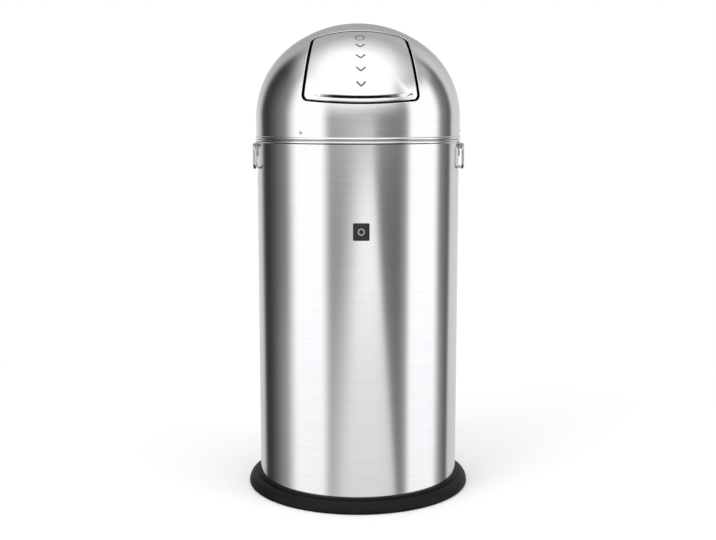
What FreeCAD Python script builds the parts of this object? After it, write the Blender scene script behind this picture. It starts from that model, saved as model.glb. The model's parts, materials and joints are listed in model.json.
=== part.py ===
import FreeCAD, Part
import math
import os
import Sketcher

# Stainless push-flap waste bin: a round body with a rubber foot ring, a domed lid that lifts off,
# a sprung flap in the dome, two drop handles and a galvanised liner with a bail.
# Frame: +Z up, floor at z = 0, the bin's axis on Z, the flap faces -Y. Millimetres throughout.

doc = FreeCAD.newDocument("push_bin")
sheet = doc.addObject("Spreadsheet::Sheet", "Sizes")

driving_sizes = {
    "overall_height": 750.0,
    # body
    "body_radius": 162.5,
    "body_sheet": 0.8,
    "body_foot_height": 4.6,
    "seam_gap": 0.3,
    "bead_radius": 2.65,
    "bead_proud": 2.5,
    "weld_gap": 0.1,
    # bottom plate
    "plate_height": 12.0,
    "plate_sheet": 0.8,
    # foot ring
    "ring_skirt_reach": 19.0,
    "ring_skirt_radius": 14.6,
    "ring_lip_reach": 4.0,
    "ring_lip_height": 20.8,
    "ring_lip_round": 1.0,
    "ring_crease_height": 16.8,
    "ring_ledge_width": 8.5,
    "ring_foot_setback": 1.4,
    # dome
    "lid_step": 1.2,
    "lid_sheet": 0.8,
    "skirt_height": 33.6,
    "shoulder_offset": 23.7,
    "crown_drop": 29.234,
    # opening in the dome
    "flap_tilt": 40.0,
    "opening_top": 55.0,
    "opening_top_half": 73.5,
    "opening_bottom": 88.3,
    "opening_bow": 22.3,
    "opening_bottom_half": 89.5,
    "opening_corner": 13.0,
    "edge_depth": 7.0,
    # flap
    "flap_top_gap": 1.5,
    "flap_side_gap": 3.8,
    "flap_bottom_gap": 3.2,
    "flap_recess": 0.6,
    "flap_sheet": 0.8,
    "flap_depth": 9.0,
    # flap hinge
    "hinge_setback": 10.0,
    "hinge_depth": 27.5,
    "pin_radius": 2.5,
    "pin_fit": 0.06,
    "pin_overhang": 3.5,
    "eye_radius": 6.0,
    "bracket_place": 49.0,
    "bracket_sheet": 1.5,
    "bracket_foot": 12.0,
    "bracket_length": 25.0,
    "lug_place": 30.0,
    "lug_sheet": 1.5,
    "lug_foot": 11.0,
    "lug_length": 30.0,
    "clip_radius": 5.0,
    "clip_sheet": 0.8,
    "clip_gap": 0.3,
    # torsion springs
    "spring_wire": 0.6,
    "spring_radius": 4.8,
    "spring_pitch": 1.8,
    "spring_turns": 5.0,
    "spring_clearance": 3.2,
    "spring_flap_leg": 35.2,
    "spring_flap_angle": 47.0,
    "spring_lid_leg": 27.0,
    # flap stops
    "stop_place": 30.0,
    "stop_width": 16.0,
    "stop_sheet": 1.5,
    "stop_depth": 26.0,
    "stop_reach": 13.0,
    "stop_rise": 10.0,
    "buffer_clearance": 0.8,
    "buffer_gap": 0.3,
    # collar inside the lid
    "collar_fit": 0.5,
    "collar_sheet": 1.0,
    "collar_drop": 16.0,
    "collar_rise": 22.0,
    "collar_joggle": 5.0,
    # rivets
    "rivet_fit": 0.1,
    "collar_rivet_radius": 1.6,
    "collar_rivet_head": 2.6,
    "collar_rivet_height": 12.2,
    "collar_rivet_angle": 33.3,
    "handle_rivet_radius": 2.0,
    "handle_rivet_head": 3.6,
    "ear_rivet_radius": 1.6,
    "ear_rivet_head": 2.8,
    "rivet_head_rise": 1.0,
    "rivet_tail_rise": 0.9,
    # side handles
    "handle_wire": 2.0,
    "handle_width": 80.0,
    "handle_drop": 36.0,
    "handle_corner": 9.0,
    "handle_stand_off": 1.1,
    "handle_below_seat": 9.6,
    "knuckle_wall": 1.0,
    "knuckle_fit": 0.08,
    "knuckle_length": 12.0,
    "knuckle_spacing": 22.0,
    "handle_plate_sheet": 1.2,
    "handle_plate_half": 31.0,
    "handle_plate_top": 2.0,
    "handle_plate_height": 16.0,
    "handle_web_overlap": 4.0,
    "handle_rivet_spacing": 8.0,
    # badge
    "badge_width": 25.0,
    "badge_height": 26.5,
    "badge_sheet": 0.6,
    "badge_drop": 135.0,
    # liner
    "liner_gap": 0.3,
    "liner_clearance": 15.7,
    "liner_taper": 6.0,
    "liner_sheet": 0.8,
    "liner_rim_drop": 24.0,
    "liner_rim_radius": 2.5,
    "liner_rim_proud": 4.2,
    "liner_floor_height": 12.0,
    "liner_floor_flange": 10.0,
    "ear_sheet": 1.3,
    "ear_gap": 1.1,
    "ear_half": 12.0,
    "ear_drop": 34.0,
    "ear_eye": 6.5,
    "ear_rivet_drop": 27.0,
    "ear_rivet_spacing": 6.0,
    # liner bail
    "bail_wire": 2.0,
    "bail_overhang": 0.9,
    "bail_corner": 4.0,
    "bail_end": 2.5,
    "bail_head": 3.4,
    "bail_head_length": 2.0,
    "bail_fit": 0.3,
    "bail_hole_fit": 0.1,
}


class Size:
    """A length with its value and the sheet expression that gives it."""

    def __init__(self, value, text):
        self.value = value
        self.text = text

    def __add__(self, other):
        other = as_size(other)
        return Size(self.value + other.value, "(%s + %s)" % (self.text, other.text))

    def __radd__(self, other):
        return as_size(other) + self

    def __sub__(self, other):
        other = as_size(other)
        return Size(self.value - other.value, "(%s - %s)" % (self.text, other.text))

    def __rsub__(self, other):
        return as_size(other) - self

    def __mul__(self, other):
        other = as_size(other)
        return Size(self.value * other.value, "(%s * %s)" % (self.text, other.text))

    def __rmul__(self, other):
        return as_size(other) * self

    def __truediv__(self, other):
        other = as_size(other)
        return Size(self.value / other.value, "(%s / %s)" % (self.text, other.text))

    def __neg__(self):
        return Size(-self.value, "(0 - %s)" % self.text)


def as_size(number):
    return number if isinstance(number, Size) else Size(float(number), "%.6f" % number)


def root(size):
    return Size(math.sqrt(size.value), "sqrt(%s)" % size.text)


def sine(angle):
    return Size(math.sin(math.radians(angle.value)), "sin(%s)" % angle.text)


def cosine(angle):
    return Size(math.cos(math.radians(angle.value)), "cos(%s)" % angle.text)


def write_sheet():
    """Puts the driving sizes in the sheet and returns them by name."""
    sizes = {}
    for row, (name, number) in enumerate(driving_sizes.items(), start=1):
        sheet.set("A%d" % row, name)
        sheet.set("B%d" % row, str(number))
        sheet.setAlias("B%d" % row, name)
        sizes[name] = Size(number, "Sizes.%s" % name)
    doc.recompute()
    return sizes


s = write_sheet()
plumb = FreeCAD.Vector(0, 0, 1)
across = FreeCAD.Vector(1, 0, 0)

dome_radius = s["body_radius"] + s["lid_step"]
shoulder_radius = dome_radius - s["shoulder_offset"]
between_centres = root(s["shoulder_offset"] * s["shoulder_offset"] + s["crown_drop"] * s["crown_drop"])
crown_radius = shoulder_radius + between_centres
dome_base = s["overall_height"] - crown_radius + s["crown_drop"]
seat = dome_base - s["skirt_height"]
bead_place = s["body_radius"] + s["bead_proud"] - s["bead_radius"]
body_bead_height = seat - s["seam_gap"] / 2 - s["bead_radius"]
lid_bead_height = seat + s["seam_gap"] / 2 + s["bead_radius"]
body_inside = s["body_radius"] - s["body_sheet"]
dome_inside = dome_radius - s["lid_sheet"]
bow_radius = ((s["opening_bottom_half"] * s["opening_bottom_half"] + s["opening_bow"] * s["opening_bow"])
              / (2 * s["opening_bow"]))
liner_top = body_inside - s["liner_clearance"]
liner_base = liner_top - s["liner_taper"]
overcut = as_size(5.0)


# General helpers

def bind(item, name, size):
    """Sets a property of an object from a size."""
    item.setExpression(name, as_size(size).text)


def place(item, x, y, z, axis=plumb, angle=0):
    """Moves and turns an object by sizes."""
    item.Placement = FreeCAD.Placement(FreeCAD.Vector(), FreeCAD.Rotation(axis, as_size(angle).value))
    bind(item, "Placement.Rotation.Angle", angle)
    for name, size in zip("xyz", (x, y, z)):
        bind(item, "Placement.Base." + name, size)
    return item


def place_in_flap_frame(item):
    """Turns an object's Z to the flap's outward direction, its Y up along the flap."""
    return place(item, 0, 0, dome_base, across, 90 - s["flap_tilt"])


def arc_centre(start, end, radius):
    """The centre of a short arc, left of the way from start to end for a positive radius."""
    chord = end - start
    half = chord.Length / 2
    left = FreeCAD.Vector(-chord.y, chord.x, 0).normalize()
    return (start + end) / 2 + left * math.copysign(math.sqrt(radius * radius - half * half), radius)


def draw_outline(sketch, corners, arcs=None):
    """Draws a closed outline of lines and arcs and ties every corner and radius to its size."""
    arcs = arcs or {}
    points = [FreeCAD.Vector(as_size(x).value, as_size(y).value, 0) for x, y in corners]
    ends = []
    for number, start in enumerate(points):
        end = points[(number + 1) % len(points)]
        if number in arcs:
            radius = arcs[number].value
            centre = arc_centre(start, end, radius)
            first, last = (start, end) if radius > 0 else (end, start)
            turn = math.atan2(first.y - centre.y, first.x - centre.x)
            stop = math.atan2(last.y - centre.y, last.x - centre.x)
            circle = Part.Circle(centre, plumb, abs(radius))
            sketch.addGeometry(Part.ArcOfCircle(circle, turn, stop if stop > turn else stop + 2 * math.pi))
            ends.append((1, 2) if radius > 0 else (2, 1))
        else:
            sketch.addGeometry(Part.LineSegment(start, end))
            ends.append((1, 2))
    for number, (x, y) in enumerate(corners):
        following = (number + 1) % len(corners)
        sketch.addConstraint(Sketcher.Constraint("Coincident", number, ends[number][1],
                                                 following, ends[following][0]))
        for kind, size in (("DistanceX", as_size(x)), ("DistanceY", as_size(y))):
            from_origin = Sketcher.Constraint(kind, -1, 1, number, ends[number][0], size.value)
            bind(sketch, "Constraints[%d]" % sketch.addConstraint(from_origin), size)
    for number, radius in arcs.items():
        fixed = sketch.addConstraint(Sketcher.Constraint("Radius", number, abs(radius.value)))
        bind(sketch, "Constraints[%d]" % fixed, radius if radius.value > 0 else -radius)


def new_body(name):
    body = doc.addObject("PartDesign::Body", name)
    body.Label = name
    return body


def sketch_on(body, plane, name):
    sketch = body.newObject("Sketcher::SketchObject", name)
    support = [feature for feature in body.Origin.OriginFeatures if feature.Role == plane][0]
    sketch.AttachmentSupport = [(support, "")]
    sketch.MapMode = "FlatFace"
    return sketch


def turned(name, corners, arcs=None):
    """A body of revolution about Z: corners are (radius, height)."""
    body = new_body(name)
    sketch = sketch_on(body, "XZ_Plane", name + "_profile")
    draw_outline(sketch, corners, arcs)
    turn = body.newObject("PartDesign::Revolution", name + "_turn")
    turn.Profile = sketch
    turn.ReferenceAxis = (sketch, ["V_Axis"])
    turn.Angle = 360
    return body


def padded(name, corners, height, arcs=None):
    """A body padded from an outline on its own XY plane."""
    body = new_body(name)
    sketch = sketch_on(body, "XY_Plane", name + "_outline")
    draw_outline(sketch, corners, arcs)
    pad = body.newObject("PartDesign::Pad", name + "_pad")
    pad.Profile = sketch
    bind(pad, "Length", height)
    return body


def ring(name, outer, inner, low, high):
    return turned(name, [(inner, low), (outer, low), (outer, high), (inner, high)])


def box(name, low, high):
    """A box between two corners given as sizes."""
    item = doc.addObject("Part::Box", name)
    for side, start, end in zip(("Length", "Width", "Height"), low, high):
        bind(item, side, as_size(end) - as_size(start))
    return place(item, *low)


def rod(name, radius, length, x, y, z, axis=plumb, angle=0):
    item = doc.addObject("Part::Cylinder", name)
    bind(item, "Radius", radius)
    bind(item, "Height", length)
    return place(item, x, y, z, axis, angle)


def cross_rod(name, radius, start, end, y, z):
    """A cylinder along X from start to end."""
    return rod(name, radius, as_size(end) - as_size(start), start, y, z, FreeCAD.Vector(0, 1, 0), 90)


def torus(name, radius, wire, height):
    item = doc.addObject("Part::Torus", name)
    bind(item, "Radius1", radius)
    bind(item, "Radius2", wire)
    return place(item, 0, 0, height)


def cut(name, base, tool):
    item = doc.addObject("Part::Cut", name)
    item.Base = base
    item.Tool = tool
    return item


def common(name, base, tool):
    item = doc.addObject("Part::Common", name)
    item.Base = base
    item.Tool = tool
    return item


def fuse(name, items):
    item = doc.addObject("Part::MultiFuse", name)
    item.Shapes = items
    return item


def group(name, items):
    item = doc.addObject("Part::Compound", name)
    item.Links = items
    return item


def sided(name, side):
    return name + ("_right" if side > 0 else "_left")


# Dome surfaces: a straight skirt, a shoulder arc and a crown arc, and their parallels

def dome_block(name, inset, foot):
    """The solid under the dome's outer surface moved inwards by inset, down to foot."""
    reach = (crown_radius - inset) / between_centres
    meet_radius = reach * s["shoulder_offset"]
    meet_height = dome_base - s["crown_drop"] + reach * s["crown_drop"]
    corners = [(0, foot), (dome_radius - inset, foot), (dome_radius - inset, dome_base),
               (meet_radius, meet_height), (0, s["overall_height"] - inset)]
    return turned(name, corners, {2: shoulder_radius - inset, 3: crown_radius - inset})


def dome_layer(name, outer_inset, inner_inset):
    """The layer between two parallels of the dome's surface, above the seat."""
    outer = dome_block(name + "_outer", outer_inset, lid_bead_height)
    inner = dome_block(name + "_inner", inner_inset, lid_bead_height - overcut)
    return cut(name, outer, inner)


def flap_prism(name, top, side, bottom, corner):
    """The opening's outline grown by top, side and bottom, as a prism across the dome's front."""
    top_edge = s["opening_top"] + top
    low_edge = -s["opening_bottom"] + s["opening_bow"]
    wide = s["opening_bottom_half"] + side
    narrow = s["opening_top_half"] + side
    bow = bow_radius + bottom
    drop = root(bow * bow - wide * wide)
    low_corner = low_edge + root(bow_radius * bow_radius
                                 - s["opening_bottom_half"] * s["opening_bottom_half"]) - drop
    corners = [(-wide, low_corner), (wide, low_corner), (narrow, top_edge), (-narrow, top_edge)]
    body = padded(name, corners, s["overall_height"], {0: bow})
    place_in_flap_frame(body)
    doc.recompute()
    pad = body.Tip
    posts = ["Edge%d" % number for number, edge in enumerate(pad.Shape.Edges, start=1)
             if abs(edge.Vertexes[0].Z - edge.Vertexes[-1].Z) > 1.0]
    rounding = body.newObject("PartDesign::Fillet", name + "_corners")
    rounding.Base = (pad, posts)
    bind(rounding, "Radius", corner)
    return body


# The body

def rivet_pairs():
    """A pair of rivets on each side of the bin: which side, and which way along Y."""
    return [(side, along) for side in (-1, 1) for along in (-1, 1)]


def outer_shell():
    tube = ring("shell_tube", s["body_radius"], body_inside, s["body_foot_height"], body_bead_height)
    bead = torus("shell_bead", bead_place, s["bead_radius"], body_bead_height)
    whole = fuse("shell_with_bead", [tube, bead])
    holes = [cross_rod("shell_hole_%d" % number, s["handle_rivet_radius"] + s["rivet_fit"],
                       side * s["body_radius"] - overcut, side * s["body_radius"] + overcut,
                       along * s["handle_rivet_spacing"], handle_rivet_height)
             for number, (side, along) in enumerate(rivet_pairs())]
    return cut("outer_shell", whole, fuse("shell_holes", holes))


def bottom_plate():
    outside = body_inside - s["weld_gap"]
    inside = outside - s["plate_sheet"]
    top = s["plate_height"] + s["plate_sheet"]
    return turned("bottom_plate", [(0, s["plate_height"]), (inside, s["plate_height"]),
                                   (inside, s["body_foot_height"]), (outside, s["body_foot_height"]),
                                   (outside, top), (0, top)])


def base_ring():
    """Rubber ring: a ledge under the body, a lip up its outside and a rounded skirt on the floor."""
    wall = s["body_radius"] + s["weld_gap"]
    lip = s["body_radius"] + s["ring_lip_reach"]
    foot = s["body_radius"] + s["ring_skirt_reach"]
    skirt_low = s["ring_crease_height"] - s["ring_skirt_radius"]
    ledge = s["body_foot_height"] - s["weld_gap"]
    hole = body_inside - s["ring_ledge_width"]
    corners = [(hole, 0), (foot - s["ring_foot_setback"], 0), (foot, skirt_low),
               (foot - s["ring_skirt_radius"], s["ring_crease_height"]), (lip, s["ring_crease_height"]),
               (lip, s["ring_lip_height"] - s["ring_lip_round"]),
               (lip - s["ring_lip_round"], s["ring_lip_height"]), (wall, s["ring_lip_height"]),
               (wall, ledge), (hole, ledge)]
    return turned("base_ring", corners, {2: s["ring_skirt_radius"]})


def badge_plate():
    """A plain badge curved to the body."""
    inner = s["body_radius"] + s["weld_gap"]
    middle = seat - s["badge_drop"]
    layer = ring("badge_layer", inner + s["badge_sheet"], inner, middle - s["badge_height"] / 2,
                 middle + s["badge_height"] / 2)
    window = box("badge_window", (-s["badge_width"] / 2, -s["body_radius"] * 2, 0),
                 (s["badge_width"] / 2, -s["body_radius"] / 2, s["overall_height"]))
    return common("badge_plate", layer, window)


# Rivets: a domed head outside, a shank through the sheets and a flat tail inside

def rivet(name, shank, head, grip):
    """A rivet along its own Z, its head's seat at the origin, its tail at -grip."""
    rise = s["rivet_head_rise"]
    tail = s["rivet_tail_rise"]
    tail_radius = shank + rise
    corners = [(0, -grip - tail), (tail_radius, -grip - tail), (tail_radius, -grip), (shank, -grip),
               (shank, 0), (head, 0), (0, rise)]
    crown = (head * head + rise * rise) / (2 * rise)
    return turned(name, corners, {5: crown})


handle_plate_low = seat - s["handle_below_seat"] - s["handle_plate_top"] - s["handle_plate_height"]
handle_rivet_height = handle_plate_low + s["handle_rivet_head"] + 1
handle_pivot_place = s["body_radius"] + s["handle_stand_off"] + s["handle_wire"]
handle_pivot_height = seat - s["handle_below_seat"]
sideways = FreeCAD.Vector(0, 1, 0)


def handle_rivets():
    """Two rivets through each bracket and the body's wall."""
    outside = s["body_radius"] + s["weld_gap"] + s["handle_plate_sheet"]
    nearest = s["handle_rivet_spacing"] - s["handle_rivet_head"]
    seat_place = root(outside * outside - nearest * nearest) + s["weld_gap"]
    grip = seat_place - root(body_inside * body_inside
                             - s["handle_rivet_spacing"] * s["handle_rivet_spacing"]) + 3 * s["weld_gap"]
    rivets = []
    for number, (side, along) in enumerate(rivet_pairs()):
        item = rivet("handle_rivet_%d" % number, s["handle_rivet_radius"], s["handle_rivet_head"], grip)
        rivets.append(place(item, side * seat_place, along * s["handle_rivet_spacing"], handle_rivet_height,
                            sideways, side * 90))
    return group("handle_rivets", rivets)


def handle_bracket(side):
    """A plate curved to the body with two knuckles that hold the handle's top bar."""
    name = sided("handle_bracket", side)
    inner = s["body_radius"] + s["weld_gap"]
    outer = inner + s["handle_plate_sheet"]
    plate_top = handle_plate_low + s["handle_plate_height"]
    layer = ring(name + "_layer", outer, inner, handle_plate_low, plate_top)
    near, far = side * s["body_radius"] / 2, side * s["body_radius"] * 2
    low, high = (near, far) if side > 0 else (far, near)
    window = box(name + "_window", (low, -s["handle_plate_half"], 0), (high, s["handle_plate_half"], seat))
    pieces = [common(name + "_plate", layer, window)]
    knuckle = s["handle_wire"] + s["knuckle_fit"] + s["knuckle_wall"]
    web_inside = side * (s["body_radius"] - s["knuckle_wall"])
    web_outside = side * handle_pivot_place
    for along in (-1, 1):
        start = along * s["knuckle_spacing"] - s["knuckle_length"] / 2
        pieces.append(rod("%s_knuckle_%d" % (name, along + 1), knuckle, s["knuckle_length"],
                          side * handle_pivot_place, start, handle_pivot_height, across, -90))
        x_low, x_high = (web_inside, web_outside) if side > 0 else (web_outside, web_inside)
        pieces.append(box("%s_web_%d" % (name, along + 1),
                          (x_low, start, plate_top - s["handle_web_overlap"]),
                          (x_high, start + s["knuckle_length"], handle_pivot_height)))
    whole = fuse(name + "_whole", pieces)
    bore = rod(name + "_bore", s["handle_wire"] + s["knuckle_fit"], s["handle_width"],
               side * handle_pivot_place, -s["handle_width"] / 2, handle_pivot_height, across, -90)
    inside = rod(name + "_inside", inner, s["overall_height"], 0, 0, 0)
    holes = [cross_rod("%s_hole_%d" % (name, along + 1), s["handle_rivet_radius"] + s["rivet_fit"],
                       side * s["body_radius"] - overcut, side * s["body_radius"] + overcut,
                       along * s["handle_rivet_spacing"], handle_rivet_height) for along in (-1, 1)]
    return cut(name, whole, fuse(name + "_cuts", [bore, inside] + holes))


def wire_along(name, edges, wire):
    """A round wire swept along joined edges, the first of them a straight line."""
    path = Part.Wire(edges)
    start, end = (vertex.Point for vertex in edges[0].Vertexes)
    section = Part.Wire(Part.Circle(start, end - start, wire).toShape())
    item = doc.addObject("Part::Feature", name)
    item.Shape = path.makePipeShell([section], True, False)
    return item


def line(start, end):
    return Part.LineSegment(start, end).toShape()


def rounded_loop(corners, radius):
    """Edges of a closed loop of straight runs with tangent arcs of one radius at its corners."""
    edges = []
    tangents = []
    count = len(corners)
    for number, corner in enumerate(corners):
        before = (corners[number - 1] - corner).normalize()
        after = (corners[(number + 1) % count] - corner).normalize()
        half_angle = before.getAngle(after) / 2
        reach = radius / math.tan(half_angle)
        middle_way = (before + after).normalize()
        middle = corner + middle_way * (radius / math.sin(half_angle) - radius)
        tangents.append((corner + before * reach, middle, corner + after * reach))
    for number, (start, middle, end) in enumerate(tangents):
        edges.append(Part.Arc(start, middle, end).toShape())
        edges.append(line(end, tangents[(number + 1) % count][0]))
    return edges


def carry_handle(side):
    """A closed wire loop: its top bar turns in the bracket's knuckles, the rest hangs below."""
    x = side * handle_pivot_place.value
    half = s["handle_width"].value / 2
    top = handle_pivot_height.value
    low = top - s["handle_drop"].value
    corners = [FreeCAD.Vector(x, -half, top), FreeCAD.Vector(x, half, top),
               FreeCAD.Vector(x, half, low), FreeCAD.Vector(x, -half, low)]
    edges = rounded_loop(corners, s["handle_corner"].value)
    middle = FreeCAD.Vector(x, 0, top)
    bar_start, bar_end = (vertex.Point for vertex in edges[1].Vertexes)
    edges = [line(middle, bar_end)] + edges[2:] + [edges[0], line(bar_start, middle)]
    return wire_along(sided("carry_handle", side), edges, s["handle_wire"].value)


# The liner

rim_height = seat - s["liner_rim_drop"] - s["liner_rim_radius"]
rim_place = liner_top + s["liner_rim_proud"] - s["liner_rim_radius"]
liner_foot = s["plate_height"] + s["plate_sheet"] + s["liner_gap"]
bail_height = rim_height + s["liner_rim_radius"] + s["bail_fit"] + s["bail_wire"]
ear_outside = liner_top - s["liner_sheet"] - s["ear_gap"]
ear_inside = ear_outside - s["ear_sheet"]
ear_rivet_height = bail_height - s["ear_rivet_drop"]


def liner_radius_at(height):
    return liner_base + s["liner_taper"] / (rim_height - liner_foot) * (height - liner_foot)


def ear_rivet_holes(name, places):
    return fuse(name, [cross_rod("%s_%d" % (name, number), s["ear_rivet_radius"] + s["rivet_fit"],
                                 side * ear_outside - 2 * overcut, side * ear_outside + 2 * overcut,
                                 along * s["ear_rivet_spacing"], ear_rivet_height)
                       for number, (side, along) in enumerate(places)])


def liner_bucket():
    """A slightly tapered tube with a rolled rim."""
    wall = s["liner_sheet"]
    tube = turned("liner_tube", [(liner_base - wall, liner_foot), (liner_base, liner_foot),
                                 (liner_top, rim_height), (liner_top - wall, rim_height)])
    rim = torus("liner_rim", rim_place, s["liner_rim_radius"], rim_height)
    return cut("liner_bucket", fuse("liner_whole", [tube, rim]),
               ear_rivet_holes("liner_holes", rivet_pairs()))


def liner_bottom():
    """A dished disc held inside the tube above its foot."""
    floor = liner_foot + s["liner_floor_height"]
    wall = s["liner_sheet"]
    outside = liner_radius_at(floor) - wall - s["weld_gap"]
    flange = floor + s["liner_floor_flange"]
    return turned("liner_bottom", [(0, floor), (outside, floor), (outside, flange), (outside - wall, flange),
                                   (outside - wall, floor + wall), (0, floor + wall)])


def liner_ear(side):
    """A flat ear inside the liner's rim, with a round top about the bail's hole."""
    name = sided("liner_ear", side)
    low, high = (ear_inside, ear_outside) if side > 0 else (-ear_outside, -ear_inside)
    plate = box(name + "_plate", (low, -s["ear_half"], bail_height - s["ear_drop"]),
                (high, s["ear_half"], bail_height - s["ear_eye"]))
    neck = box(name + "_neck", (low, -s["ear_eye"], bail_height - s["ear_drop"] / 2),
               (high, s["ear_eye"], bail_height))
    eye = cross_rod(name + "_eye", s["ear_eye"], low, high, 0, bail_height)
    whole = fuse(name + "_whole", [plate, neck, eye])
    hole = cross_rod(name + "_hole", s["bail_wire"] + s["bail_hole_fit"], low - overcut, high + overcut,
                     0, bail_height)
    rivet_holes = ear_rivet_holes(name + "_rivet_holes", [(side, -1), (side, 1)])
    return cut(name, whole, fuse(name + "_cuts", [hole, rivet_holes]))


def ear_rivets():
    """Rivets with their heads inside the liner and their tails outside its wall."""
    seat_place = ear_inside - s["weld_gap"]
    grip = liner_radius_at(ear_rivet_height) - seat_place + 2 * s["weld_gap"]
    rivets = []
    for number, (side, along) in enumerate(rivet_pairs()):
        item = rivet("ear_rivet_%d" % number, s["ear_rivet_radius"], s["ear_rivet_head"], grip)
        rivets.append(place(item, side * seat_place, along * s["ear_rivet_spacing"], ear_rivet_height,
                            sideways, side * -90))
    return group("ear_rivets", rivets)


def liner_bail():
    """A half ring of wire lying on the rim behind, its ends turned in through the ears and headed."""
    wire, corner = s["bail_wire"].value, s["bail_corner"].value
    reach = rim_place.value + s["bail_overhang"].value
    z = bail_height.value
    corner_place = math.sqrt((reach - corner) ** 2 - corner ** 2)
    turn = math.atan2(corner, corner_place)
    inner = ear_inside.value - s["bail_end"].value

    def mirrored(point, side):
        return FreeCAD.Vector(side * point[0], point[1], z)

    half_turn = (turn - math.pi / 2) / 2
    middle = (corner_place + corner * math.cos(half_turn), corner + corner * math.sin(half_turn))
    tangent = (reach * math.cos(turn), reach * math.sin(turn))
    edges = [line(mirrored((inner, 0), 1), mirrored((corner_place, 0), 1)),
             Part.Arc(mirrored((corner_place, 0), 1), mirrored(middle, 1), mirrored(tangent, 1)).toShape(),
             Part.Arc(mirrored(tangent, 1), FreeCAD.Vector(0, reach, z), mirrored(tangent, -1)).toShape(),
             Part.Arc(mirrored(tangent, -1), mirrored(middle, -1), mirrored((corner_place, 0), -1)).toShape(),
             line(mirrored((corner_place, 0), -1), mirrored((inner, 0), -1))]
    bow = wire_along("bail_bow", edges, wire)
    end = ear_inside - s["bail_end"]
    low, high = end - s["bail_head_length"] / 2, end + s["bail_head_length"] / 2
    heads = [cross_rod("bail_head_right", s["bail_head"], low, high, 0, bail_height),
             cross_rod("bail_head_left", s["bail_head"], -high, -low, 0, bail_height)]
    return fuse("liner_bail", [bow] + heads)


# The lid

collar_rivet_level = seat + s["collar_rivet_height"]


def collar_rivet_turns():
    """The collar rivets' angles about Z from the front."""
    return [-s["collar_rivet_angle"] + third * 120 for third in range(3)]


def place_radially(item, radius, turn, z):
    """Turns an object's Z outwards along a radius, turn degrees about Z from -Y."""
    facing = FreeCAD.Rotation(plumb, turn.value).multiply(FreeCAD.Rotation(across, 90))
    item.Placement = FreeCAD.Placement(FreeCAD.Vector(), facing)
    for name, size in zip("xyz", (radius * sine(turn), -radius * cosine(turn), z)):
        bind(item, "Placement.Base." + name, size)
    return item


def collar_rivet_holes(name):
    """The holes that the collar rivets need through the skirt and the collar."""
    holes = []
    for number, turn in enumerate(collar_rivet_turns()):
        hole = doc.addObject("Part::Cylinder", "%s_%d" % (name, number))
        bind(hole, "Radius", s["collar_rivet_radius"] + s["rivet_fit"])
        bind(hole, "Height", 3 * overcut)
        holes.append(place_radially(hole, dome_radius - 2 * overcut, turn, collar_rivet_level))
    return holes


def dome_shell():
    """The dome's sheet with its opening's turned-in edge and its bead."""
    skin = dome_layer("dome_skin", as_size(0), s["lid_sheet"])
    opening = flap_prism("opening", as_size(0), as_size(0), as_size(0), s["opening_corner"])
    wall = s["lid_sheet"]
    around = flap_prism("opening_surround", wall, wall, wall, s["opening_corner"] + wall)
    edge = common("opening_edge", around, dome_layer("edge_layer", as_size(0), s["edge_depth"]))
    bead = torus("dome_bead", bead_place, s["bead_radius"], lid_bead_height)
    whole = fuse("dome_whole", [skin, edge, bead])
    return cut("dome_shell", whole, fuse("dome_cuts", [opening] + collar_rivet_holes("dome_hole")))


def lid_collar():
    """A ring fixed in the dome's skirt that drops into the body's mouth."""
    low_outer = bead_place - s["bead_radius"] - s["collar_fit"]
    high_outer = dome_inside - s["weld_gap"]
    wall = s["collar_sheet"]
    low, joggle, high = seat - s["collar_drop"], seat + s["collar_joggle"], seat + s["collar_rise"]
    shoulder = joggle + (high_outer - low_outer)
    body = turned("collar_turned", [
        (low_outer - wall, low), (low_outer, low), (low_outer, joggle), (high_outer, shoulder),
        (high_outer, high), (high_outer - wall, high), (high_outer - wall, shoulder + wall / 2),
        (low_outer - wall, joggle + wall / 2)])
    return cut("lid_collar", body, fuse("collar_holes", collar_rivet_holes("collar_hole")))


def collar_rivets():
    seat_place = dome_radius + s["weld_gap"]
    grip = s["lid_sheet"] + s["collar_sheet"] + 4 * s["weld_gap"]
    rivets = []
    for number, turn in enumerate(collar_rivet_turns()):
        item = rivet("collar_rivet_%d" % number, s["collar_rivet_radius"], s["collar_rivet_head"], grip)
        rivets.append(place_radially(item, seat_place, turn, collar_rivet_level))
    return group("collar_rivets", rivets)


# The flap and its hinge, all in the flap's own frame: X across, Y up the flap, Z outwards

def crown_at(level):
    """How far out the dome's crown lies from the flap frame's origin, at a place up the flap."""
    tilt = s["flap_tilt"]
    offset = level + s["crown_drop"] * cosine(tilt)
    return root(crown_radius * crown_radius - offset * offset) - s["crown_drop"] * sine(tilt)


def shoulder_at(level):
    """The same for the dome's shoulder."""
    tilt = s["flap_tilt"]
    offset = level + s["shoulder_offset"] * sine(tilt)
    return root(shoulder_radius * shoulder_radius - offset * offset) + s["shoulder_offset"] * cosine(tilt)


hinge_top = s["opening_top"] - s["hinge_setback"]
hinge_level = crown_at(hinge_top) - s["hinge_depth"]


def in_flap_frame(name, item):
    """Carries an object made in the flap's own frame to its place in the dome."""
    return place_in_flap_frame(group(name, [item]))


def flap_rod(name, radius, start, end):
    return cross_rod(name, radius, start, end, hinge_top, hinge_level)


def flap_outline(name, inset):
    """The flap's own outline, moved inwards by inset."""
    gaps = [-s["flap_top_gap"] - inset, -s["flap_side_gap"] - inset, -s["flap_bottom_gap"] - inset]
    return flap_prism(name, *gaps, s["opening_corner"] - s["flap_bottom_gap"] - inset)


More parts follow.
